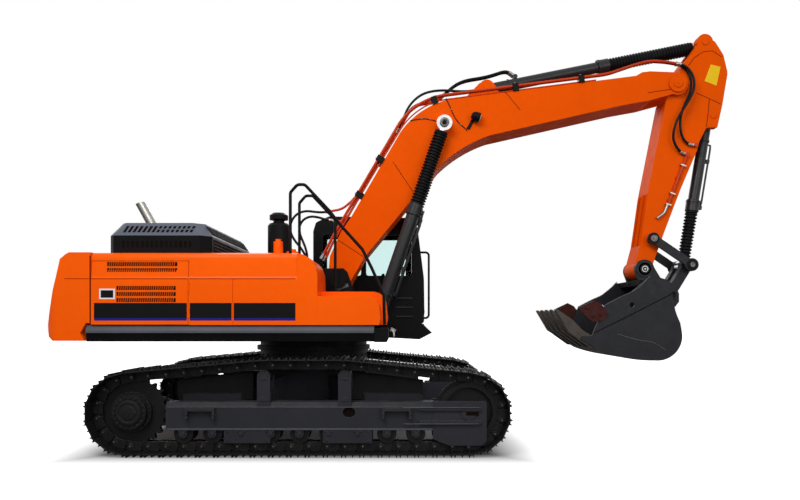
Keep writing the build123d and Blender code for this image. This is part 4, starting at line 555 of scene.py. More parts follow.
class Form:
    """A mesh put together from turned, extruded and swept pieces."""

    def __init__(self):
        self.bm = bmesh.new()

    def disc(self, base, axis, radius, depth, sides=24, top=None):
        top = radius if top is None else top
        made = bmesh.ops.create_cone(
            self.bm, cap_ends=True, segments=sides, radius1=radius, radius2=top, depth=depth
        )
        axis = Vector(axis).normalized()
        turn = axis.to_track_quat("Z", "Y").to_matrix().to_4x4()
        matrix = Matrix.Translation(Vector(base) + axis * depth / 2) @ turn
        bmesh.ops.transform(self.bm, matrix=matrix, verts=made["verts"])
        return self

    def block(self, middle, size, turn=0.0):
        """A block turned about y by an angle in degrees."""
        made = bmesh.ops.create_cube(self.bm, size=1)
        turned = Matrix.Translation(middle) @ Matrix.Rotation(math.radians(turn), 4, "Y")
        bmesh.ops.transform(self.bm, matrix=turned @ Matrix.Diagonal((*size, 1)), verts=made["verts"])
        return self

    def plate(self, outline, thickness):
        """A flat outline of points drawn out along a vector."""
        face = self.bm.faces.new([self.bm.verts.new(point) for point in outline])
        drawn = bmesh.ops.extrude_face_region(self.bm, geom=[face])
        moved = [item for item in drawn["geom"] if isinstance(item, bmesh.types.BMVert)]
        bmesh.ops.translate(self.bm, vec=thickness, verts=moved)
        return self

    def lathe(self, start, axis, profile, sides=32, capped=True):
        """Rings turned round an axis, from (distance along it, radius). Uncapped, both ends stay open."""
        axis = Vector(axis).normalized()
        side = axis.orthogonal().normalized()
        rings = []
        for along, radius in profile:
            middle = Vector(start) + axis * along
            offsets = circle(axis, side, radius, sides) if radius >= 1e-6 else [Vector()]
            rings.append([self.bm.verts.new(middle + offset) for offset in offsets])
        self.skin(rings, capped)
        return self

    def skin(self, rings, capped=True):
        for first, second in zip(rings, rings[1:]):
            count = max(len(first), len(second))
            for step in range(count if count > 1 else 0):
                after = (step + 1) % count
                if len(first) == 1:
                    corners = (first[0], second[step], second[after])
                elif len(second) == 1:
                    corners = (first[step], second[0], first[after])
                else:
                    corners = (first[step], second[step], second[after], first[after])
                self.bm.faces.new(corners)
        for ring in (rings[0], rings[-1]) if capped else ():
            if len(ring) > 2:
                self.bm.faces.new(ring)

    def tube(self, points, radius, sides=12):
        """A round bar along points."""
        points = [Vector(point) for point in points]
        rings, side = [], None
        for step, point in enumerate(points):
            before, after = points[max(step - 1, 0)], points[min(step + 1, len(points) - 1)]
            along = (after - before).normalized()
            side = along.orthogonal() if side is None else side - along * side.dot(along)
            side.normalize()
            rings.append([self.bm.verts.new(point + offset) for offset in circle(along, side, radius, sides)])
        self.skin(rings)
        return self

    def bolt(self, base, axis, size=0.014):
        """A hexagon head on a washer."""
        axis = Vector(axis).normalized()
        self.disc(base, axis, size * 1.25, size * 0.25, 16)
        self.disc(Vector(base) + axis * size * 0.25, axis, size, size * 0.75, 6, size * 0.94)
        return self

    def bolt_ring(self, middle, axis, radius, count, size):
        axis = Vector(axis).normalized()
        for offset in circle(axis, axis.orthogonal().normalized(), radius, count):
            self.bolt(Vector(middle) + offset, axis, size)
        return self

    def both(self):
        """Adds the mirror image on the other side of the object."""
        copied = bmesh.ops.duplicate(self.bm, geom=self.bm.verts[:] + self.bm.edges[:] + self.bm.faces[:])
        verts = [item for item in copied["geom"] if isinstance(item, bmesh.types.BMVert)]
        bmesh.ops.scale(self.bm, vec=(1, -1, 1), verts=verts)
        return self

    def done(self, name, look, body, replaces=(), bevel=0.0, smooth=35, slot=None):
        bmesh.ops.recalc_face_normals(self.bm, faces=self.bm.faces[:])
        mesh = bpy.data.meshes.new(name)
        self.bm.to_mesh(mesh)
        self.bm.free()
        return placed(mesh, name, look, body, replaces, bevel, smooth, slot)


def placed(mesh, name, look, body, replaces=(), bevel=0.0, smooth=35, slot=None):
    """A piece with its look, its body, and a slot that follows from its look unless one is given."""
    piece = bpy.data.objects.new(name, mesh)
    bpy.context.scene.collection.objects.link(piece)
    mesh.materials.append(LOOKS[look])
    if smooth:
        mesh.shade_smooth()
        mesh.set_sharp_from_angle(angle=math.radians(smooth))
    if bevel:
        rounding = piece.modifiers.new("rounding", "BEVEL")
        rounding.width = bevel
        rounding.segments = 2
        rounding.limit_method = "ANGLE"
        rounding.angle_limit = math.radians(40)
    if body:
        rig.ride(piece, body)
    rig.slot(piece, slot or LOOK_SLOTS.get(look, look))
    if replaces:
        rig.replaces(piece, *replaces)
    return piece


def repeated(template, places, name, look, body, replaces=()):
    """One mesh of many copies of a form."""
    bmesh.ops.recalc_face_normals(template.bm, faces=template.bm.faces[:])
    verts = [vert.co.copy() for vert in template.bm.verts]
    template.bm.verts.index_update()
    faces = [[vert.index for vert in face.verts] for face in template.bm.faces]
    template.bm.free()
    all_verts, all_faces = [], []
    for place in places:
        base = len(all_verts)
        all_verts += [place @ vert for vert in verts]
        all_faces += [[base + index for index in face] for face in faces]
    mesh = bpy.data.meshes.new(name)
    mesh.from_pydata(all_verts, [], all_faces)
    mesh.update()
    return placed(mesh, name, look, body, replaces)


# Tracks: the same loop as the CAD's, with a jointed chain and bolted shoes

GROUSER = 0.030
TUMBLER_X, TUMBLER_RADIUS, CARRY_HEIGHT = 2.035, 0.490, 1.160
CARRIER_X = (-0.430, 0.545)
AXLE_Z = TUMBLER_RADIUS + GROUSER
SHOE_PITCH, FIRST_SHOE = 0.216, -0.012
TRACK_Y, SHOE_WIDTH = 1.3, 0.6
LINK_THICKNESS, CHAIN_PIN_Z = 0.030, -0.075
# A shoe's section with three grousers, in shares of its pitch and of the grousers' height
SHOE_SECTION = (
    (-0.56, -0.016), (-0.50, 0.0), (-0.455, 0.002), (-0.425, 1.0), (-0.395, 1.0), (-0.36, 0.0),
    (-0.06, 0.0), (-0.03, 0.86), (0.0, 0.86), (0.035, 0.0), (0.335, 0.0), (0.37, 1.0), (0.40, 1.0),
    (0.43, 0.0), (0.50, -0.1), (0.50, -0.4), (-0.48, -0.4), (-0.56, -0.9),
)


def tangent_angle(carrier_x, tumbler_x):
    """The angle on a tumbler where the upper run leaves it for a carrier roller."""
    over = (carrier_x - tumbler_x, CARRY_HEIGHT - AXLE_Z)
    lean = math.acos(TUMBLER_RADIUS / math.hypot(*over))
    return math.atan2(over[1], over[0]) + (-lean if tumbler_x > carrier_x else lean)


def on_tumbler(x, turn):
    return x + TUMBLER_RADIUS * math.cos(turn), AXLE_Z + TUMBLER_RADIUS * math.sin(turn)


def track_line():
    """The shoe plates' outer face as straight stretches and arcs."""
    front = tangent_angle(CARRIER_X[1], TUMBLER_X)
    rear = tangent_angle(CARRIER_X[0], -TUMBLER_X)
    leave, reach = on_tumbler(TUMBLER_X, front), on_tumbler(-TUMBLER_X, rear)
    over = [(x, CARRY_HEIGHT) for x in CARRIER_X]
    return [
        ((-TUMBLER_X, GROUSER), (TUMBLER_X, GROUSER)),
        (TUMBLER_X, -math.pi / 2, front),
        (leave, over[1]),
        (over[1], over[0]),
        (over[0], reach),
        (-TUMBLER_X, rear, 3 * math.pi / 2),
    ]


def stretch_length(stretch):
    if len(stretch) == 2:
        return math.dist(*stretch)
    return TUMBLER_RADIUS * (stretch[2] - stretch[1])


def on_track(distance):
    for stretch in track_line():
        length = stretch_length(stretch)
        if distance <= length:
            if len(stretch) == 2:
                share = distance / length
                return Vector([a + (b - a) * share for a, b in zip(*stretch)])
            return Vector(on_tumbler(stretch[0], stretch[1] + distance / TUMBLER_RADIUS))
        distance -= length
    return on_track(distance)


def shoe_places(y):
    """Each shoe's place: x along the loop, y across and z outward, from its plate's outer face."""
    length = sum(stretch_length(stretch) for stretch in track_line())
    count = round(length / SHOE_PITCH)
    pitch = length / count
    places = []
    for shoe in range(count):
        start = shoe * pitch + FIRST_SHOE
        first, second = on_track(start % length), on_track((start + pitch) % length)
        along = (second - first).normalized()
        middle = (first + second) / 2
        turn = Matrix(((along.x, 0, along.y), (0, 1, 0), (along.y, 0, -along.x))).to_4x4()
        places.append(Matrix.Translation((SWING_X + middle.x, y, middle.y)) @ turn)
    return places, pitch


def shoe_form(pitch):
    """A shoe with bevelled grouser ends and eight bolt heads."""
    shoe = Form()
    outline = [Vector((x * pitch, -SHOE_WIDTH / 2, high * GROUSER)) for x, high in SHOE_SECTION]
    shoe.plate(outline, (0, SHOE_WIDTH, 0))
    for vert in shoe.bm.verts:
        if vert.co.z > 0.02:
            vert.co.y -= math.copysign(0.012, vert.co.y)
    for across in (-0.13, -0.055, 0.055, 0.13):
        for along in (-0.21 * pitch, 0.19 * pitch):
            shoe.disc((along, across, 0), UP, 0.015, 0.012, 6, 0.013)
    return shoe


def link_form(pitch):
    """The chain links of one shoe, each pair lapped over the next, with a bush and two bosses."""
    links = Form()
    for across in (-0.105, 0.045):
        for offset, low, high in ((0.0, -0.60, 0.12), (LINK_THICKNESS, -0.12, 0.60)):
            rim = ((low, -0.050), (low + 0.07, -0.022), (high - 0.07, -0.014), (high, -0.040), (high, -0.098),
                   (high - 0.08, -0.128), (low + 0.12, -0.128), (low, -0.105))
            outline = [Vector((x * pitch, across + offset, z)) for x, z in rim]
            links.plate(outline, (0, LINK_THICKNESS, 0))
    links.disc((pitch / 2, -0.1, CHAIN_PIN_Z), LEFT, 0.030, 0.2, 16)
    for across in (-0.113, 0.1):
        links.disc((-0.5 * pitch, across, CHAIN_PIN_Z), LEFT, 0.030, 0.013, 14)
    return links


def pin_form(pitch):
    pins = Form()
    for across in (-0.122, 0.112):
        pins.disc((-0.5 * pitch, across, CHAIN_PIN_Z), LEFT, 0.012, 0.010, 12)
    return pins


def build_tracks():
    for side, y in (("right", -TRACK_Y), ("left", TRACK_Y)):
        places, pitch = shoe_places(y)
        for name, form, look in (
            ("shoes", shoe_form(pitch), "track_steel"),
            ("links", link_form(pitch), "chain_steel"),
            ("pins", pin_form(pitch), "pin_steel"),
        ):
            repeated(form, places, f"track_{name}_{side}", look, "undercarriage", [f"track_{side}"])


# Undercarriage: final drives, openings, webs, bolts and the swing ring

LEG_WEBS = (
    ((-1560, 640), (-1560, 880), (-1200, 925), (-620, 985), (-620, 640)),
    ((1500, 640), (1500, 875), (1200, 915), (620, 985), (620, 640)),
)
FRAME_FACE, GUARD_FACE = -1450, -1520


def build_final_drives():
    cover = Form()
    sprocket = spot(-2035, 520)
    start = beside(sprocket, -1.5003)
    cover.lathe(start, RIGHT, [
        (0, 0.150), (0.010, 0.150), (0.014, 0.142), (0.014, 0.118), (0.004, 0.112), (0.004, 0.088),
        (0.016, 0.082), (0.020, 0.050), (0.020, 0.0)], 48)
    cover.bolt_ring(start + Vector((0, 0.012, 0)), RIGHT, 0.178, 18, 0.011)
    cover.disc(start + Vector((0.085, -0.004, 0.0)), RIGHT, 0.016, 0.014, 6)
    cover.bolt_ring(beside(sprocket, -1.4103), RIGHT, 0.226, 24, 0.010)
    cover.both().done("final_drive_covers", "running_black", "undercarriage")


def build_track_frames():
    # Dark sheets over the frame's openings: painted shade
    dark = Form().block(spot(2078, 507.5, -1472.6), (0.150, 0.002, 0.045))
    turns = [2 * math.pi * step / 40 for step in range(40)]
    dark.plate([spot(597 + 74 * math.cos(turn), 520 + 59 * math.sin(turn), -1421.5) for turn in turns],
               (0, 0.001, 0))
    dark.both().done("frame_openings", "slot_dark", "undercarriage", slot="undercarriage_black")
    webs = Form()
    for outline in LEG_WEBS:
        webs.plate([spot(x, z, -1118) for x, z in outline], (0, 0.010, 0))
        webs.tube([spot(*outline[1], -1113), spot(*outline[3], -1113)], 0.012, 8)
    webs.both().done("leg_webs", "running_black", "undercarriage", bevel=0.003)
    # Lighter lips along the frame's edges: painted highlight, with real wear
    lips = Form()
    lips.block(spot(10, 318, -1453), (3.19, 0.012, 0.022))
    lips.block(spot(10, 583, -1450.5), (3.19, 0.008, 0.010))
    for z in (388, 583):
        lips.block(spot(1700, z, -1496), (0.9, 0.014, 0.010))
    lips.both().done("track_frame_edges", "edge_steel", "undercarriage", bevel=0.002)


def build_undercarriage_bolts():
    hub = Form()
    for x in (-430, 545):
        middle = spot(x, 952, FRAME_FACE)
        for dx, dz in ((-0.035, -0.028), (0.035, -0.028), (0, 0.040)):
            hub.bolt(middle + Vector((dx, 0, dz)), RIGHT, 0.011)
        hub.disc(middle, RIGHT, 0.050, 0.010, 28, 0.044)
        foot = ((x - 60, 655), (x + 60, 655), (x + 52, 700), (x - 52, 700))
        hub.plate([spot(*corner, FRAME_FACE) for corner in foot], (0, -0.008, 0))
    for x in range(-1400, 1401, 350):
        hub.disc(spot(x, 262, FRAME_FACE), RIGHT, 0.030, 0.012, 20, 0.026)
        for dx in (-0.038, 0.038):
            hub.bolt(spot(x, 292, FRAME_FACE) + Vector((dx, 0, 0)), RIGHT, 0.010)
    for x in (-1180, 1170):
        for end in (-160, 160):
            for z in (505, 460):
                hub.bolt(spot(x + end, z, GUARD_FACE), RIGHT, 0.011)
    for x in (-860, -395, 330, 830):
        for z in (180, 290):
            hub.bolt(spot(x, z, FRAME_FACE), RIGHT, 0.010)
    hub.both().done("undercarriage_bolts", "undercarriage_black", "undercarriage")


def build_swing_ring():
    ring = Form()
    ring.lathe(spot(0, 1080, 0), UP, [(0, 0.744), (0.006, 0.748), (0.022, 0.748), (0.028, 0.744)], 72)
    for step in range(36):
        turn = 2 * math.pi * step / 36
        out = Vector((math.cos(turn), math.sin(turn), 0))
        ring.bolt(spot(0, 1160, 0) + out * 0.739, out, 0.012)
    ring.done("swing_ring_bolts", "running_black", "undercarriage")


# Cylinders: folded boots that stretch, heads with bolts, and pipes along the barrels

# Base pin, rod pin, sides, gland, eye radius, boot radius, folds, the barrel's body, the rod's body, the head's
# radius and the barrel's radius
CYLINDERS = {
    "boom": (spot(910, 1680), spot(1810, 4290), (-0.39, 0.39), 1.6, 0.105, 0.096, 24,
             "boom_cylinder_barrels", "boom_cylinder_rods", 0.100, 0.085),
    "arm": (spot(2420, 4870), spot(5420, 5470), (0.0,), 1.75, 0.100, 0.093, 28,
            "arm_cylinder_barrel", "arm_cylinder_rod", 0.098, 0.076),
    "bucket": (spot(5530, 4460), spot(5190, 2385), (0.0,), 1.317, 0.092, 0.086, 14,
               "bucket_cylinder_barrel", "bucket_cylinder_rod", 0.092, 0.074),
}
PIPE_FOOT = 0.36


def fold_profile(start, end, folds, outer, inner):
    """Bellows between two plain cuffs."""
    cuff = 0.022
    rings = [(start, inner), (start, outer * 0.93), (start + cuff, outer * 0.93)]
    step = (end - start - 2 * cuff) / folds
    for fold in range(folds):
        base = start + cuff + fold * step
        rings += [(base + 0.10 * step, inner), (base + 0.30 * step, inner + (outer - inner) * 0.75)]
        rings += [(base + 0.44 * step, outer), (base + 0.56 * step, outer)]
        rings += [(base + 0.70 * step, inner + (outer - inner) * 0.75), (base + 0.90 * step, inner)]
    return rings + [(end - cuff, outer * 0.93), (end, outer * 0.93), (end, inner)]


def add_barrel_rings(trim, foot, along, gland, head, wall):
    """The head's bolted flange and a band round the barrel. Their ends lie on the barrel and stay open."""
    flange = [(0, wall + 0.001), (0, head + 0.005), (0.030, head + 0.005), (0.034, head + 0.001),
              (0.060, head + 0.001), (0.060, wall)]
    band = [(0, wall), (0.004, wall + 0.010), (0.030, wall + 0.010), (0.034, wall)]
    trim.lathe(foot + along * (gland - 0.150), along, flange, 40, False)
    trim.bolt_ring(foot + along * (gland - 0.150), -along, head - 0.006, 10, 0.009)
    trim.lathe(foot + along * 0.30, along, band, 40, False)


def add_barrel_pipe(trim, foot, along, out, gland, wall):
    """A pipe along the barrel with its two clamps and its union."""
    top = gland - 0.09
    run = ((top, 0.004), (top, 0.036), (top - 0.05, 0.042), (PIPE_FOOT + 0.06, 0.042), (PIPE_FOOT, 0.036),
           (PIPE_FOOT, 0.004))
    trim.tube([foot + along * reach + out * (wall + rise) for reach, rise in run], 0.014)
    lean = math.degrees(math.atan2(-along.z, along.x))
    for share in (0.45, 0.95):
        trim.block(foot + along * (gland * share) + out * (wall + 0.028), (0.05, 0.05, 0.05), lean)
    trim.disc(foot + along * (top + 0.001) + out * (wall + 0.012), out, 0.026, 0.018, 6)


def build_cylinders():
    for name, facts in CYLINDERS.items():
        base, eye, sides, gland, eye_radius, outer, folds, barrel, rod, head, wall = facts
        along = (eye - base).normalized()
        up = along.cross(LEFT).normalized()
        start, end = gland + 0.0005, (eye - base).length - eye_radius - 0.015
        trim, bands = Form(), Form()
        for number, y in enumerate(sides):
            foot = base + Vector((0, y, 0))
            boot = Form().lathe(foot, along, fold_profile(start, end, folds, outer, outer * 0.76), 28)
            side = f"_{number}" if len(sides) > 1 else ""
            piece = boot.done(f"{name}_boot{side}", "boot_rubber", None, [f"{name}_cylinder_boot"])
            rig.blend(piece, barrel, rod, foot + along * (start + 0.03), foot + along * (end - 0.03))
            cuff = [(0, head * 0.90), (0, head * 0.985), (0.010, head * 0.985), (0.010, head * 0.90)]
            bands.lathe(foot + along * (gland - 0.012), along, cuff, 40, False)
            add_barrel_rings(trim, foot, along, gland, head, wall)
            if name != "arm":
                add_barrel_pipe(trim, foot, along, -up if name == "boom" else up, gland, wall)
        trim.done(f"{name}_cylinder_trim", "barrel_paint", barrel, bevel=0.0015)
        bands.done(f"{name}_boot_bands", "bright_steel", barrel)


# Pins' caps and bosses

IDLER_PIVOT, LINK_JOINT = spot(4667, 2741), spot(5190, 2385)
BUCKET_PIVOT, BUCKET_LINK = spot(4565, 2330), spot(4940, 1975)
BOOM_EYE, ARM_PIVOT = spot(1810, 4290), spot(5010, 4870)


def build_pins():
    caps = Form()
    caps.lathe(beside(BOOM_EYE, -0.4403), RIGHT, [
        (0, 0.060), (0.004, 0.064), (0.014, 0.064), (0.018, 0.058), (0.018, 0.040), (0.010, 0.036),
        (0.010, 0.0)], 40)
    caps.both().done("boom_cylinder_pin_caps", "pin_steel", "boom_cylinder_rods")
    heads = Form().bolt(beside(BOOM_EYE, -0.4503), RIGHT, 0.024)
    heads.both().done("boom_cylinder_pin_bolts", "black_paint", "boom_cylinder_rods")
    for name, centre, y, radius, body, look in (
        ("idler_pivot", IDLER_PIVOT, -0.3424, 0.046, "arm", "pin_steel"),
        ("link_joint", LINK_JOINT, -0.3404, 0.034, "idler_links", "pin_steel"),
        ("bucket_pivot", BUCKET_PIVOT, -0.2710, 0.044, "bucket", "bright_steel"),
        ("bucket_link", BUCKET_LINK, -0.2664, 0.052, "bucket", "black_paint"),
    ):
        cap = Form().lathe(beside(centre, y), RIGHT, [
            (0, radius), (0.010, radius * 0.97), (0.010, radius * 0.74), (0.005, radius * 0.68),
            (0.005, radius * 0.34), (0.012, radius * 0.30), (0.012, 0.0)], 36)
        cap.both().done(f"{name}_caps", look, body)
    bosses = Form()
    for centre, radius in ((BUCKET_PIVOT, 0.118), (BUCKET_LINK, 0.078)):
        bosses.lathe(beside(centre, -0.2664), RIGHT, [
            (0, radius), (0.008, radius - 0.006), (0.008, radius - 0.030), (0.0, radius - 0.034)], 40)
    bosses.both().done("bucket_boss_rings", "bucket_grey", "bucket")
    rims, rim = Form(), [(0, 0.076), (0.006, 0.072), (0.006, 0.052), (0.0, 0.048)]
    for centre in (IDLER_PIVOT, LINK_JOINT):
        rims.lathe(beside(centre, -0.3284), RIGHT, rim, 36)
    rims.both().done("idler_link_rims", "black_paint", "idler_links")
    arm = Form()
    arm.lathe(beside(ARM_PIVOT, -0.2700), RIGHT, [
        (0, 0.070), (0.030, 0.068), (0.034, 0.062), (0.034, 0.040), (0.026, 0.036), (0.026, 0.0)], 36)
    arm.bolt(beside(ARM_PIVOT, -0.2960), RIGHT, 0.018)
    arm.both().done("arm_pivot_caps", "boom_paint", "boom")


# Hoses: the route's points are part.py's own

KNEE_ROUTE = (
    (1775.3, 4760.2), (1858, 4826), (1938, 4902), (2040, 4968), (2165, 5008), (2300, 5028), (2430, 5053),
    (2550, 5088), (2655, 5124), (2735, 5124), (2805.9, 5070.3),
)
# Two bodies, the length, and the route, which starts on the second body where the first is the house
HOSE_ROUTES = {
    "foot_hose_1": ("house", "boom", 1.287, level(-85, (
        (247.7, 3149.9), (150, 3132), (30, 3138), (-95, 3155), (-205, 3128), (-285, 3055), (-325, 2955),
        (-318, 2845), (-262, 2740), (-185, 2650), (-125, 2560), (-90, 2475), (-90, 2400.3)))),
    "foot_hose_2": ("house", "boom", 1.126, level(-20, (
        (289.7, 3025), (180, 3035.4), (60, 3076), (-55, 3088), (-155, 3040), (-210, 2940), (-195, 2825),
        (-150, 2725), (-108, 2615), (-90, 2505), (-90, 2400.3)))),
    "cylinder_hose_1": ("boom", "arm_cylinder_barrel", 1.478, (
        (1147.2, -85, 4240.3), (1207, -85, 4342), (1268, -85, 4470), (1325, -85, 4602), (1420, -85, 4715),
        (1540, -85, 4795), (1685, -80, 4832), (1835, -72, 4842), (1975, -66, 4832), (2110, -58, 4830),
        (2225, -50, 4842), (2317.7, -45, 4862))),
    "cylinder_hose_2": ("boom", "arm_cylinder_barrel", 1.138, level(-20, KNEE_ROUTE)),
    "cylinder_hose_3": ("boom", "arm_cylinder_barrel", 1.138, level(45, KNEE_ROUTE)),
    "arm_hose_1": ("boom", "arm", 1.523, (
        (4990.3, -264, 5149.4), (5078, -264, 5135.4), (5160, -276, 5075), (5208, -298, 4980),
        (5222, -325, 4870), (5205, -340, 4750), (5145, -340, 4625), (5065, -335, 4500), (4990, -325, 4370),
        (4945, -310, 4230), (4945, -285, 4095), (5010, -262, 3985), (5080, -240, 3930), (5131, -228, 3914))),
    "arm_hose_2": ("boom", "arm", 1.368, (
        (4990.3, -224, 5149.4), (5078, -224, 5135.4), (5155, -232, 5068), (5195, -250, 4970),
        (5200, -278, 4860), (5175, -298, 4735), (5115, -300, 4610), (5060, -295, 4480), (5040, -280, 4340),
        (5060, -262, 4200), (5110, -245, 4095), (5185, -232, 4045), (5249, -228, 4038))),
}
HOSE_NODES = {"foot": "foot_hoses", "cylinder": "cylinder_hoses", "arm": "arm_hoses"}
HOSE_RADIUS = 0.017
FERRULE = [(0, 0.018), (0, 0.0235), (0.016, 0.0235), (0.018, 0.0215), (0.070, 0.0215), (0.074, 0.018)]


def hose_line(name, points):
    """The smooth line of a hose, read from its NURBS spline."""
    curve = bpy.data.curves.new(name, "CURVE")
    curve.dimensions = "3D"
    curve.resolution_u = 10
    spline = curve.splines.new("NURBS")
    spline.points.add(len(points) - 1)
    for handle, point in zip(spline.points, points):
        handle.co = (*point, 1)
    spline.order_u = 3
    spline.use_endpoint_u = True
    holder = bpy.data.objects.new(name, curve)
    bpy.context.scene.collection.objects.link(holder)
    line = bpy.data.meshes.new_from_object(holder)
    read = [vert.co.copy() for vert in line.vertices]
    bpy.data.objects.remove(holder)
    bpy.data.curves.remove(curve)
    bpy.data.meshes.remove(line)
    return read


def build_hoses():
    for name, (body_a, body_b, length, route) in HOSE_ROUTES.items():
        points = [spot(x, z, y) for x, y, z in route]
        line = hose_line(name, points)
        piece = Form().tube(line, HOSE_RADIUS, 16).done(
            name, "hose_rubber", None, [HOSE_NODES[name.split("_")[0]]], smooth=60)
        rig.cord(piece, exit=tuple(line[0]), length=length, diameter=2 * HOSE_RADIUS, far_end="object",
                stiffness="stiff", lay="taut", path=[tuple(point) for point in line])
        joints, owners = (points[0], points[-1]), (body_a, body_b)
        if body_a == "house":
            joints, owners = joints[::-1], owners[::-1]
        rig.blend(piece, body_a, body_b, *joints)
        inward = ((line[2] - line[0]).normalized(), (line[-3] - line[-1]).normalized())
        for end, place, way, owner in zip(("start", "end"), (line[0], line[-1]), inward, owners):
            ferrule = Form().lathe(place + way * 0.006, way, FERRULE, 20)
            ferrule.disc(place + way * 0.002, way, 0.027, 0.020, 6)
            ferrule.done(f"{name}_ferrule_{end}", "bright_steel", owner)


# House: stripes, plates, painted shade in the grilles' backs, along the creases and in the rear seam, and latches

SIDE_FACE, UPPER_FACE_Z, UPPER_SET_IN = 1490.3, 2135, 20
# The rear doors' rows of slots, as part.py gives them
GRILLE_ROWS = (
    (-2297, -1459, 2276, 2324), (-2297, -1459, 2205, 2252), (-2177, -1471, 1989, 2037),
    (-2177, -1471, 1917, 1965), (-2177, -1471, 1845, 1893),
)
BAR_PITCH = 26
BRACKET_TAG = (342.5, 287)


def build_side(side, sign, rear_body):
    for number, (start, end, body) in enumerate(
        ((-2447, -1338, rear_body), (-1302, -803, "house"), (-777, -40, "house"))
    ):
        wide, middle = (end - start) / 1000, (start + end) / 2
        stripe = Form().block(spot(middle, 1743, sign * (SIDE_FACE + 1)), (wide, 0.003, 0.182))
        stripe.done(f"stripe_{side}_{number}", "stripe_black", body)
        line = Form().block(spot(middle, 1638, sign * (SIDE_FACE + 1.2)), (wide, 0.0032, 0.028))
        line.done(f"stripe_line_{side}_{number}", "stripe_blue", body)
    for name, proud, size, look in (
        ("plate_rim", 1, (0.190, 0.004, 0.126), "white_paint"),
        ("plate_field", 2, (0.150, 0.005, 0.090), "stripe_black"),
    ):
        plate = Form().block(spot(-2291, 1941, sign * (SIDE_FACE + proud)), size)
        plate.done(f"{name}_{side}", look, rear_body, bevel=0.0015)
    latch = Form().lathe(spot(-1365, 1690, sign * 1494), (0, sign, 0), [
        (0, 0.024), (0.004, 0.024), (0.006, 0.020), (0.003, 0.017), (0.003, 0)], 28)
    latch.done(f"door_latch_{side}", "stripe_black", rear_body)
    # Darker lines along the side's crease: painted shade
    for number, (start, end, body) in enumerate(
        ((-2480, -1330, rear_body), (-1310, -40, "house"), (-2800, -2500, "house"))
    ):
        crease = Form().tube([spot(x, 2124, sign * 1488.5) for x in (start, end)], 0.006, 8)
        crease.done(f"crease_{side}_{number}", "crease_orange", body)
    # A dark line in the gap between the counterweight and the door: painted shade
    seam = Form().block(spot(-2494, 2000, sign * 1490.5), (0.012, 0.003, 0.80))
    seam.done(f"tail_seam_{side}", "slot_dark", "house", slot="orange_paint")


def build_grilles(side, sign, rear_body):
    """Slanted bars over a strip of painted shade in each row of slots."""
    strips, bars = Form(), Form()
    for x_from, x_to, low, high in GRILLE_ROWS:
        proud = SIDE_FACE - (UPPER_SET_IN if low > UPPER_FACE_Z else 0) + 0.8
        strips.block(spot((x_from + x_to) / 2, (low + high) / 2, sign * proud),
                     ((x_to - x_from) / 1000, 0.0016, (high - low) / 1000))
        for step in range(1, round((x_to - x_from) / BAR_PITCH)):
            x = x_from + step * BAR_PITCH
            corners = ((x - 9, low - 2), (x - 1, low - 2), (x + 9, high + 2), (x + 1, high + 2))
            bars.plate([spot(*corner, sign * (proud + 0.5)) for corner in corners], (0, sign * 0.0018, 0))
    strips.done(f"grille_strips_{side}", "slot_dark", rear_body)
    bars.done(f"grille_bars_{side}", "orange_paint", rear_body, smooth=0)


def build_house_details():
    for side, sign in (("right", -1), ("left", 1)):
        build_side(side, sign, f"{side}_door")
        build_grilles(side, sign, f"{side}_door")
    # Lighter strips on the cab's ribs: painted highlight
    ribs = Form()
    for low in (1660, 1795, 1930):
        ribs.block(spot(1275, low + 26, 531.4), (0.246, 0.003, 0.007))
    ribs.done("cab_rib_edges", "edge_steel", "house", smooth=0, slot="black_paint")
    bosses = Form().lathe(spot(370, 2170, -300.3), RIGHT, [
        (0, 0.085), (0.010, 0.081), (0.010, 0.055), (0.003, 0.051), (0.003, 0.0)], 36)
    bosses.bolt(spot(370, 2170, -303), RIGHT, 0.022)
    bosses.both().done("bracket_bosses", "undercarriage_black", "house", slot="black_paint")
    tag = Form().block(seen(*BRACKET_TAG, -0.3020), (0.165, 0.004, 0.050), -20)
    tag.done("bracket_tag", "pin_steel", "house", bevel=0.0015)
    latch = Form().tube([spot(1100, 1520, -1010), spot(1128, 1470, -1030), spot(1132, 1420, -1030)], 0.016)
    latch.block(spot(1120, 1500, -1022), (0.07, 0.02, 0.05), 30)
    latch.done("step_catch", "bright_steel", "house", bevel=0.002)


# Hood: the slots' backs and a sheet behind the screen at its front, dark as painted shade

HOOD_SIDE = {"right": (-1250, 1), "left": (1200, -1)}
HOOD_TIER, HOOD_TOP, HOOD_LEAN = 2670, 2840, 115
HOOD_SLOTS = [-2210 + step * 880 / 15 for step in range(15)]
TALL_SLOTS, SLOT_WIDE, SLOT_LEAN = 7, 34, 30
SLOT_LOW, SLOT_HIGH, BRIDGE_LOW, BRIDGE_HIGH = 2712, 2796, 2748, 2762
SCREEN_RIGHT, SCREEN_LEFT = -1080, 1030


def on_hood_wall(side, x, z, proud):
    """A point on the hood's leaning upper wall, moved outward in millimetres."""
    foot, inward = HOOD_SIDE[side]
    return spot(x, z, foot + inward * (HOOD_LEAN * (z - HOOD_TIER) / (HOOD_TOP - HOOD_TIER) - proud))


def on_hood_front(y, z, proud):
    lean = HOOD_LEAN * max(0.0, (z - HOOD_TIER) / (HOOD_TOP - HOOD_TIER))
    return spot(-1130 - lean + proud, z, y)


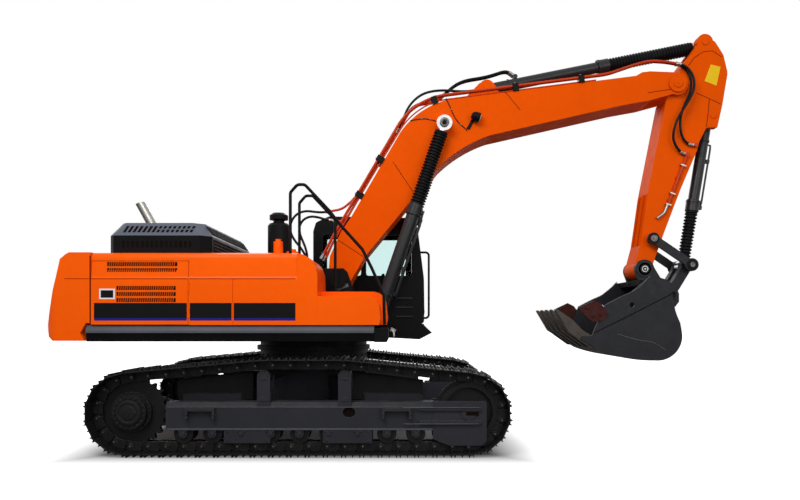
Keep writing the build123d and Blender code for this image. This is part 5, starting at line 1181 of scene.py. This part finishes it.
def build_hood_slots(side):
    foot, inward = HOOD_SIDE[side]
    outward = (0, -inward * 0.0012, 0)
    # Dark backs in the slots: painted shade
    backs, bridge = Form(), Form()
    for number, x in enumerate(HOOD_SLOTS):
        backs.block(spot(x + 17, 2560, foot + inward * 2), (0.034, 0.002, 0.080))
        short = ((SLOT_LOW, BRIDGE_LOW), (BRIDGE_HIGH, SLOT_HIGH))
        for low, high in ((SLOT_LOW, SLOT_HIGH),) if number < TALL_SLOTS else short:
            below, above = [x + (z - SLOT_LOW) * SLOT_LEAN / (SLOT_HIGH - SLOT_LOW) for z in (low, high)]
            corners = ((below, low), (below + SLOT_WIDE, low), (above + SLOT_WIDE, high), (above, high))
            backs.plate([on_hood_wall(side, *corner, 0.6) for corner in corners], outward)
    first, last = HOOD_SLOTS[TALL_SLOTS], HOOD_SLOTS[-1]
    strip = ((first + 8, BRIDGE_LOW), (last + 56, BRIDGE_LOW), (last + 61, BRIDGE_HIGH),
             (first + 13, BRIDGE_HIGH))
    bridge.plate([on_hood_wall(side, *corner, 0.4) for corner in strip], outward)
    backs.done(f"hood_slot_backs_{side}", "slot_dark", "hood", smooth=0)
    bridge.done(f"hood_slot_bridge_{side}", "slate_paint", "hood", smooth=0, slot="black_paint")


def build_hood_details():
    for side in HOOD_SIDE:
        build_hood_slots(side)
    # A dark sheet behind the screen's wires: painted shade
    screen, wires = Form(), Form()
    for low, high in ((2695, 2815), (2480, 2640)):
        edge = ((SCREEN_RIGHT, low), (SCREEN_LEFT, low), (SCREEN_LEFT, high), (SCREEN_RIGHT, high))
        screen.plate([on_hood_front(*corner, 1.0) for corner in edge], (0.0015, 0, 0))
        for step in range(27):
            y = -1040 + step * 78
            wires.tube([on_hood_front(y, low, 4), on_hood_front(y, high, 4)], 0.0045, 6)
        for share in (0.25, 0.5, 0.75):
            z = low + (high - low) * share
            wires.tube([on_hood_front(SCREEN_RIGHT, z, 5), on_hood_front(SCREEN_LEFT, z, 5)], 0.0045, 6)
    screen.done("hood_front_screen", "slot_dark", "hood", smooth=0)
    wires.done("hood_front_wires", "running_black", "hood", slot="black_paint")


def build_seams(name, lines, radius, look, body, slot=None):
    """Thin beads along lines of a plate, on both sides."""
    seams = Form()
    for line in lines:
        seams.tube(line, radius, 8)
    seams.both().done(name, look, body, slot=slot)


# Boom: seams, wires, unions and the lamp's glass

BOOM_SEAMS = (
    ((393, 162), (413, 192)), ((338, 240), (365, 258)), ((505, 92), (520, 110)), ((648, 93), (680, 88)),
)
BOOM_WIRES = (
    ((446, 98.5), (448, 102.8), (451.3, 110), (454.6, 118), (460.4, 125), (465.7, 128.8), (467, 131)),
    ((410, 121), (419, 118.9), (426.4, 118.9), (432, 120), (437.5, 121.8)),
)
# Each pipe clamp on the boom's back: x, z and the slope there
PIPE_CLAMPS = ((700, 3318, 59.8), (985, 3808, 59.8), (1700, 4592, 21), (2800, 4766, 7.3), (3700, 4881, 7.3))
SEAM_RADIUS = 0.0045


def build_boom_details():
    build_seams("boom_seams", [traced(line, -0.2703) for line in BOOM_SEAMS], SEAM_RADIUS, "seam_dark", "boom")
    wires, clips = Form(), Form()
    for number, route in enumerate(BOOM_WIRES):
        points = hose_line(f"wire_{number}", traced(route, -0.277))
        wires.tube(points, 0.006, 8)
        for share in (0.3, 0.72):
            place = points[int(share * (len(points) - 1))]
            clips.block(beside(place, -0.2785), (0.026, 0.016, 0.018), 30)
    wires.done("boom_wires", "hose_rubber", "boom")
    clips.done("boom_wire_clips", "pin_steel", "boom", bevel=0.003)
    unions = Form()
    way = Vector((168, 0, 330)).normalized()
    for y in (-264, -224, 45):
        unions.lathe(spot(132, 2470, y) - way * 0.004, way, [
            (0, 0.018), (0, 0.027), (0.030, 0.027), (0.034, 0.022), (0.075, 0.022), (0.078, 0.018)], 20)
    unions.done("pipe_foot_unions", "bright_steel", "boom")
    clamps = Form()
    for x, z, slope in PIPE_CLAMPS:
        lean = math.radians(slope)
        up = Vector((-math.sin(lean), 0, math.cos(lean)))
        clamps.bolt(spot(x, z, -244) + up * 0.105, up, 0.016)
    clamps.done("pipe_clamp_bolts", "bright_steel", "boom")
    axis = Vector((120, 0, -40)).normalized()
    glass = Form().lathe(spot(2230, 4400, -345) + axis * 0.0702, axis, [
        (0, 0.060), (0.006, 0.058), (0.010, 0.040), (0.012, 0.0)], 32)
    glass.done("boom_lamp_glass", "lamp_glass", "boom")


# Arm: the bare plate, seams, the lower face with its ribs, and the pipes' ends

ARM_FACE = -0.2003
ARM_PLATE = ((710.4, 64.8), (720.3, 67.1), (716.1, 86.1), (704.0, 81.5))
ARM_SEAMS = (
    ((688, 66), (694, 58), (703, 52), (712, 51), (721, 57)), ((696, 93), (709, 99), (720, 104)),
    ((709, 99), (708, 112), (706, 127)),
)
ARM_HOOK = ((667.5, 204), (666, 208), (664, 213), (660, 216), (656.5, 218.5))
ARM_LOWER_EDGE = ((4628, 3372), (4610, 3250), (4570, 2965), (4526, 2666))


def build_arm_details():
    plate = Form().plate(traced(ARM_PLATE, ARM_FACE - 0.002), (0, -0.003, 0))
    plate.done("arm_plate", "label_yellow", "arm")
    build_seams("arm_seams", [traced(line, ARM_FACE) for line in ARM_SEAMS], SEAM_RADIUS, "seam_dark", "arm")
    outline = [spot(x - 2.0, z, -196) for x, z in ARM_LOWER_EDGE]
    outline += [spot(x + 6.0, z, -196) for x, z in ARM_LOWER_EDGE[::-1]]
    face = Form().plate(outline, (0, 0.392, 0))
    face.done("arm_lower_face", "matte_orange", "arm", bevel=0.001)
    # Ribs along the lower face in darker orange: painted shade
    ribs = Form()
    for y in (-90, 90):
        ribs.tube([spot(x - 6.0, z, y) for x, z in ARM_LOWER_EDGE], 0.009, 8)
    ribs.done("arm_lower_ribs", "crease_orange", "arm")
    clips = Form()
    for x, z in ((5103, 3755), (4957, 3368), (4901, 3218)):
        clips.block(spot(x, z, -228), (0.075, 0.052, 0.022), 20.6)
    clips.both().done("arm_pipe_clips", "bright_steel", "arm", bevel=0.003)
    line = hose_line("hook", traced(ARM_HOOK, -0.232))
    hook = Form().tube(line, 0.019)
    hook.lathe(line[0], line[2] - line[0], [(0, 0.02), (0, 0.03), (0.03, 0.03), (0.03, 0.02)], 6)
    hook.both().done("arm_pipe_ends", "bright_steel", "arm")


# Bucket: seams, tooth pins and cutter bolts

BUCKET_FACE = -0.7003
BUCKET_SEAMS = (
    ((617, 334), (628, 337.5), (640, 340.5), (652, 342), (658, 345), (665, 350)),
    ((650, 276), (645, 281), (640, 287), (630, 293), (620, 297), (605, 305)),
)
GROOVE_SHADE_LINE = ((594, 333), (634, 313), (675, 292))


def build_bucket_details():
    # Seam beads in a lighter grey: painted highlight, with real wear
    lines = [hose_line("seam", traced(line, BUCKET_FACE)) for line in BUCKET_SEAMS]
    build_seams("bucket_seams", lines, 0.006, "edge_steel", "bucket", "bucket_grey")
    # A black line along a groove on the bucket's side: painted shade
    groove = traced(GROOVE_SHADE_LINE, BUCKET_FACE)
    build_seams("bucket_groove_shade", [groove], 0.007, "black_paint", "bucket", "bucket_grey")
    pins = Form()
    for y in range(-620, 621, 310):
        for sign in (-1, 1):
            pins.disc(spot(3560, 1470, y + sign * 57.5), (0, sign, 0), 0.020, 0.006, 16)
    pins.done("tooth_pins", "tooth_steel", "bucket")
    bolts = Form()
    for x, z in ((3640, 1790), (3720, 1690), (3830, 1700)):
        bolts.bolt(spot(x, z, -740), RIGHT, 0.018)
    bolts.both().done("cutter_bolts", "cutter_red", "bucket")


# Cab: seals round the panes, the door's handle and the wiper

CORNER_REACH, SEAL_RADIUS = 0.045, 0.009
WINDSCREEN = (
    (1568, 1750, 630), (1568, 1750, 1410), (1561, 2250, 1410), (1466, 3000, 1410), (1466, 3000, 630),
    (1561, 2250, 630),
)
REAR_WINDOW = ((-82, 2250, 640), (-82, 2250, 1400), (-82, 2880, 1400), (-82, 2880, 640))


def seal(form, corners):
    """A soft frame round a pane: a bar along the corners, rounded at each."""
    points = []
    for before, corner, after in zip(corners[-1:] + corners[:-1], corners, corners[1:] + corners[:1]):
        a = corner + (before - corner).normalized() * CORNER_REACH
        b = corner + (after - corner).normalized() * CORNER_REACH
        points += [a, a.lerp(corner, 0.5).lerp(b.lerp(corner, 0.5), 0.5), b]
    form.tube(points + [points[0]], SEAL_RADIUS, 8)


def side_pane(x_from, x_to, low, high, y):
    return [spot(x, z, y) for x, z in ((x_from, low), (x_to, low), (x_to, high), (x_from, high))]


def build_cab_details():
    seals = Form()
    for x_from, x_to in ((60, 640), (700, 1390)):
        seal(seals, side_pane(x_from, x_to, 2280, 2900, 538))
    seal(seals, [spot(*corner) for corner in WINDSCREEN])
    seal(seals, side_pane(20, 270, 2280, 2950, 1502))
    seal(seals, [spot(*corner) for corner in REAR_WINDOW])
    seals.done("cab_window_seals", "hose_rubber", "house")
    door = Form()
    seal(door, side_pane(420, 1310, 2250, 2930, 1502))
    door.tube([spot(470, z, y) for z, y in ((1960, 1506), (1960, 1545), (2140, 1545), (2140, 1506))], 0.013)
    door.done("cab_door_handle", "hose_rubber", "cab_door")
    wiper = Form()
    wiper.lathe(spot(1566, 1700, 1020), FORWARD, [(0, 0.028), (0.016, 0.024), (0.018, 0.0)], 20)
    wiper.tube([spot(1578, 1700, 1020), spot(1586, 1760, 1020), spot(1560, 2045, 1020)], 0.008, 8)
    wiper.tube([spot(1552, 1860, 1020), spot(1547, 2230, 1020)], 0.010, 8)
    wiper.done("cab_wiper", "hose_rubber", "house")


# Seat: crowned pads on a stand, with a console, an armrest and a lever at each side

# A pad's rings: the rise as a share of its height, and how far the outline draws in
PAD_RINGS = ((0.0, 0.10), (0.06, 0.035), (0.22, 0.0), (0.62, 0.0), (0.82, 0.02), (0.95, 0.08), (1.02, 0.20),
             (1.06, 0.38), (1.08, 0.62), (1.085, 0.90))
PAD_SIDES, PAD_ROUNDNESS = 56, 3.6
CONSOLE = ((480, 1620), (1040, 1620), (1050, 1900), (1040, 2120), (980, 2150), (480, 2120))
LEVER = [(0, 0.045), (0.010, 0.046), (0.030, 0.030), (0.050, 0.014), (0.090, 0.011), (0.100, 0.020),
         (0.150, 0.026), (0.185, 0.022), (0.195, 0.0)]


def pad(name, corner, across, along, up):
    """A crowned cushion: rounded outlines that draw in at the foot and swell to a soft top."""
    middle = corner + (across + along) / 2
    form, rings = Form(), []
    for rise, draw in PAD_RINGS:
        height = up * min(rise, 1.0) * 0.94 + up * max(rise - 1.0, 0.0) * 0.7
        ring = []
        for step in range(PAD_SIDES):
            turn = 2 * math.pi * step / PAD_SIDES
            a, b = math.cos(turn), math.sin(turn)
            size = (abs(a) ** PAD_ROUNDNESS + abs(b) ** PAD_ROUNDNESS) ** (-1 / PAD_ROUNDNESS)
            reach = (1 - draw) * (1 - 0.012 * (1 - math.cos(8 * turn)) / 2)
            point = middle + across * (a * size * reach / 2) + along * (b * size * reach / 2) + height
            ring.append(form.bm.verts.new(point))
        rings.append(ring)
    form.skin(rings)
    piece = form.done(name, "seat_cloth", "house", ["seat"], smooth=70)
    softened = piece.modifiers.new("soft", "SUBSURF")
    softened.levels = softened.render_levels = 1
    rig.padded(piece, fill=0.85)


def build_seat():
    lean = (spot(330, 2720) - spot(430, 2080)).normalized()
    outward = Vector((lean.z, 0, -lean.x))
    pad("seat_cushion", spot(430, 1950, 790), LEFT * 0.50, FORWARD * 0.53, UP * 0.13)
    pad("seat_back", spot(455, 2060, 805), LEFT * 0.47, lean * 0.46, outward * 0.125)
    pad("seat_headrest", spot(372, 2535, 900), LEFT * 0.28, lean * 0.17, outward * 0.105)
    stand = Form()
    for step in range(5):
        inset = 0.036 * (step % 2)
        stand.block(spot(750, 1651 + step * 62, 1040), (0.50 - inset, 0.44 - inset, 0.058))
    stand.block(spot(700, 1938, 1040), (0.50, 0.44, 0.024))
    stand.done("seat_stand", "hose_rubber", "house", ["seat"], bevel=0.012)
    corners = [spot(430, 2070, 815), spot(330, 2705, 860), spot(330, 2705, 1220), spot(430, 2070, 1265)]
    Form().plate(corners, outward * 0.028).done("seat_shell", "black_paint", "house", ["seat"], bevel=0.010)
    for side, y_from, y_to in (("right", 620, 770), ("left", 1300, 1420)):
        console = Form().plate([spot(x, z, y_from) for x, z in CONSOLE], LEFT * ((y_to - y_from) / 1000))
        console.done(f"console_{side}", "black_paint", "house", ["seat"], bevel=0.014)
        wide = LEFT * ((y_to - y_from - 30) / 1000)
        pad(f"armrest_{side}", spot(490, 2110, y_from + 15), wide, FORWARD * 0.34, UP * 0.06)
        lever = Form().lathe(spot(930, 2140, (y_from + y_to) / 2), (0.15, 0, 1), LEVER, 24)
        lever.done(f"lever_{side}", "hose_rubber", "house", ["seat"])


def main():
    build_floor()
    build_world()
    build_camera()
    lamp("key", (-3.0, -9.0, 9.0), (0.0, 0, 2.0), (6, 4), 660)
    lamp("fill", (6.0, -13.0, 5.0), (0.5, 0, 2.0), (8, 6), 445)
    lamp("back", (-2.0, 8.0, 8.0), (0, 0, 2.0), (6, 4), 330)
    build_tracks()
    build_final_drives()
    build_track_frames()
    build_undercarriage_bolts()
    build_swing_ring()
    build_cylinders()
    build_pins()
    build_hoses()
    build_house_details()
    build_hood_details()
    build_boom_details()
    build_arm_details()
    build_bucket_details()
    build_cab_details()
    build_seat()


main()

bpy.context.scene.view_settings.view_transform = "Standard"
with open("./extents.json", "w") as sizes:
    json.dump({"cad": [list(corner) for corner in CAD_BOX], "visual": [list(corner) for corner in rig.bounds()]}, sizes)
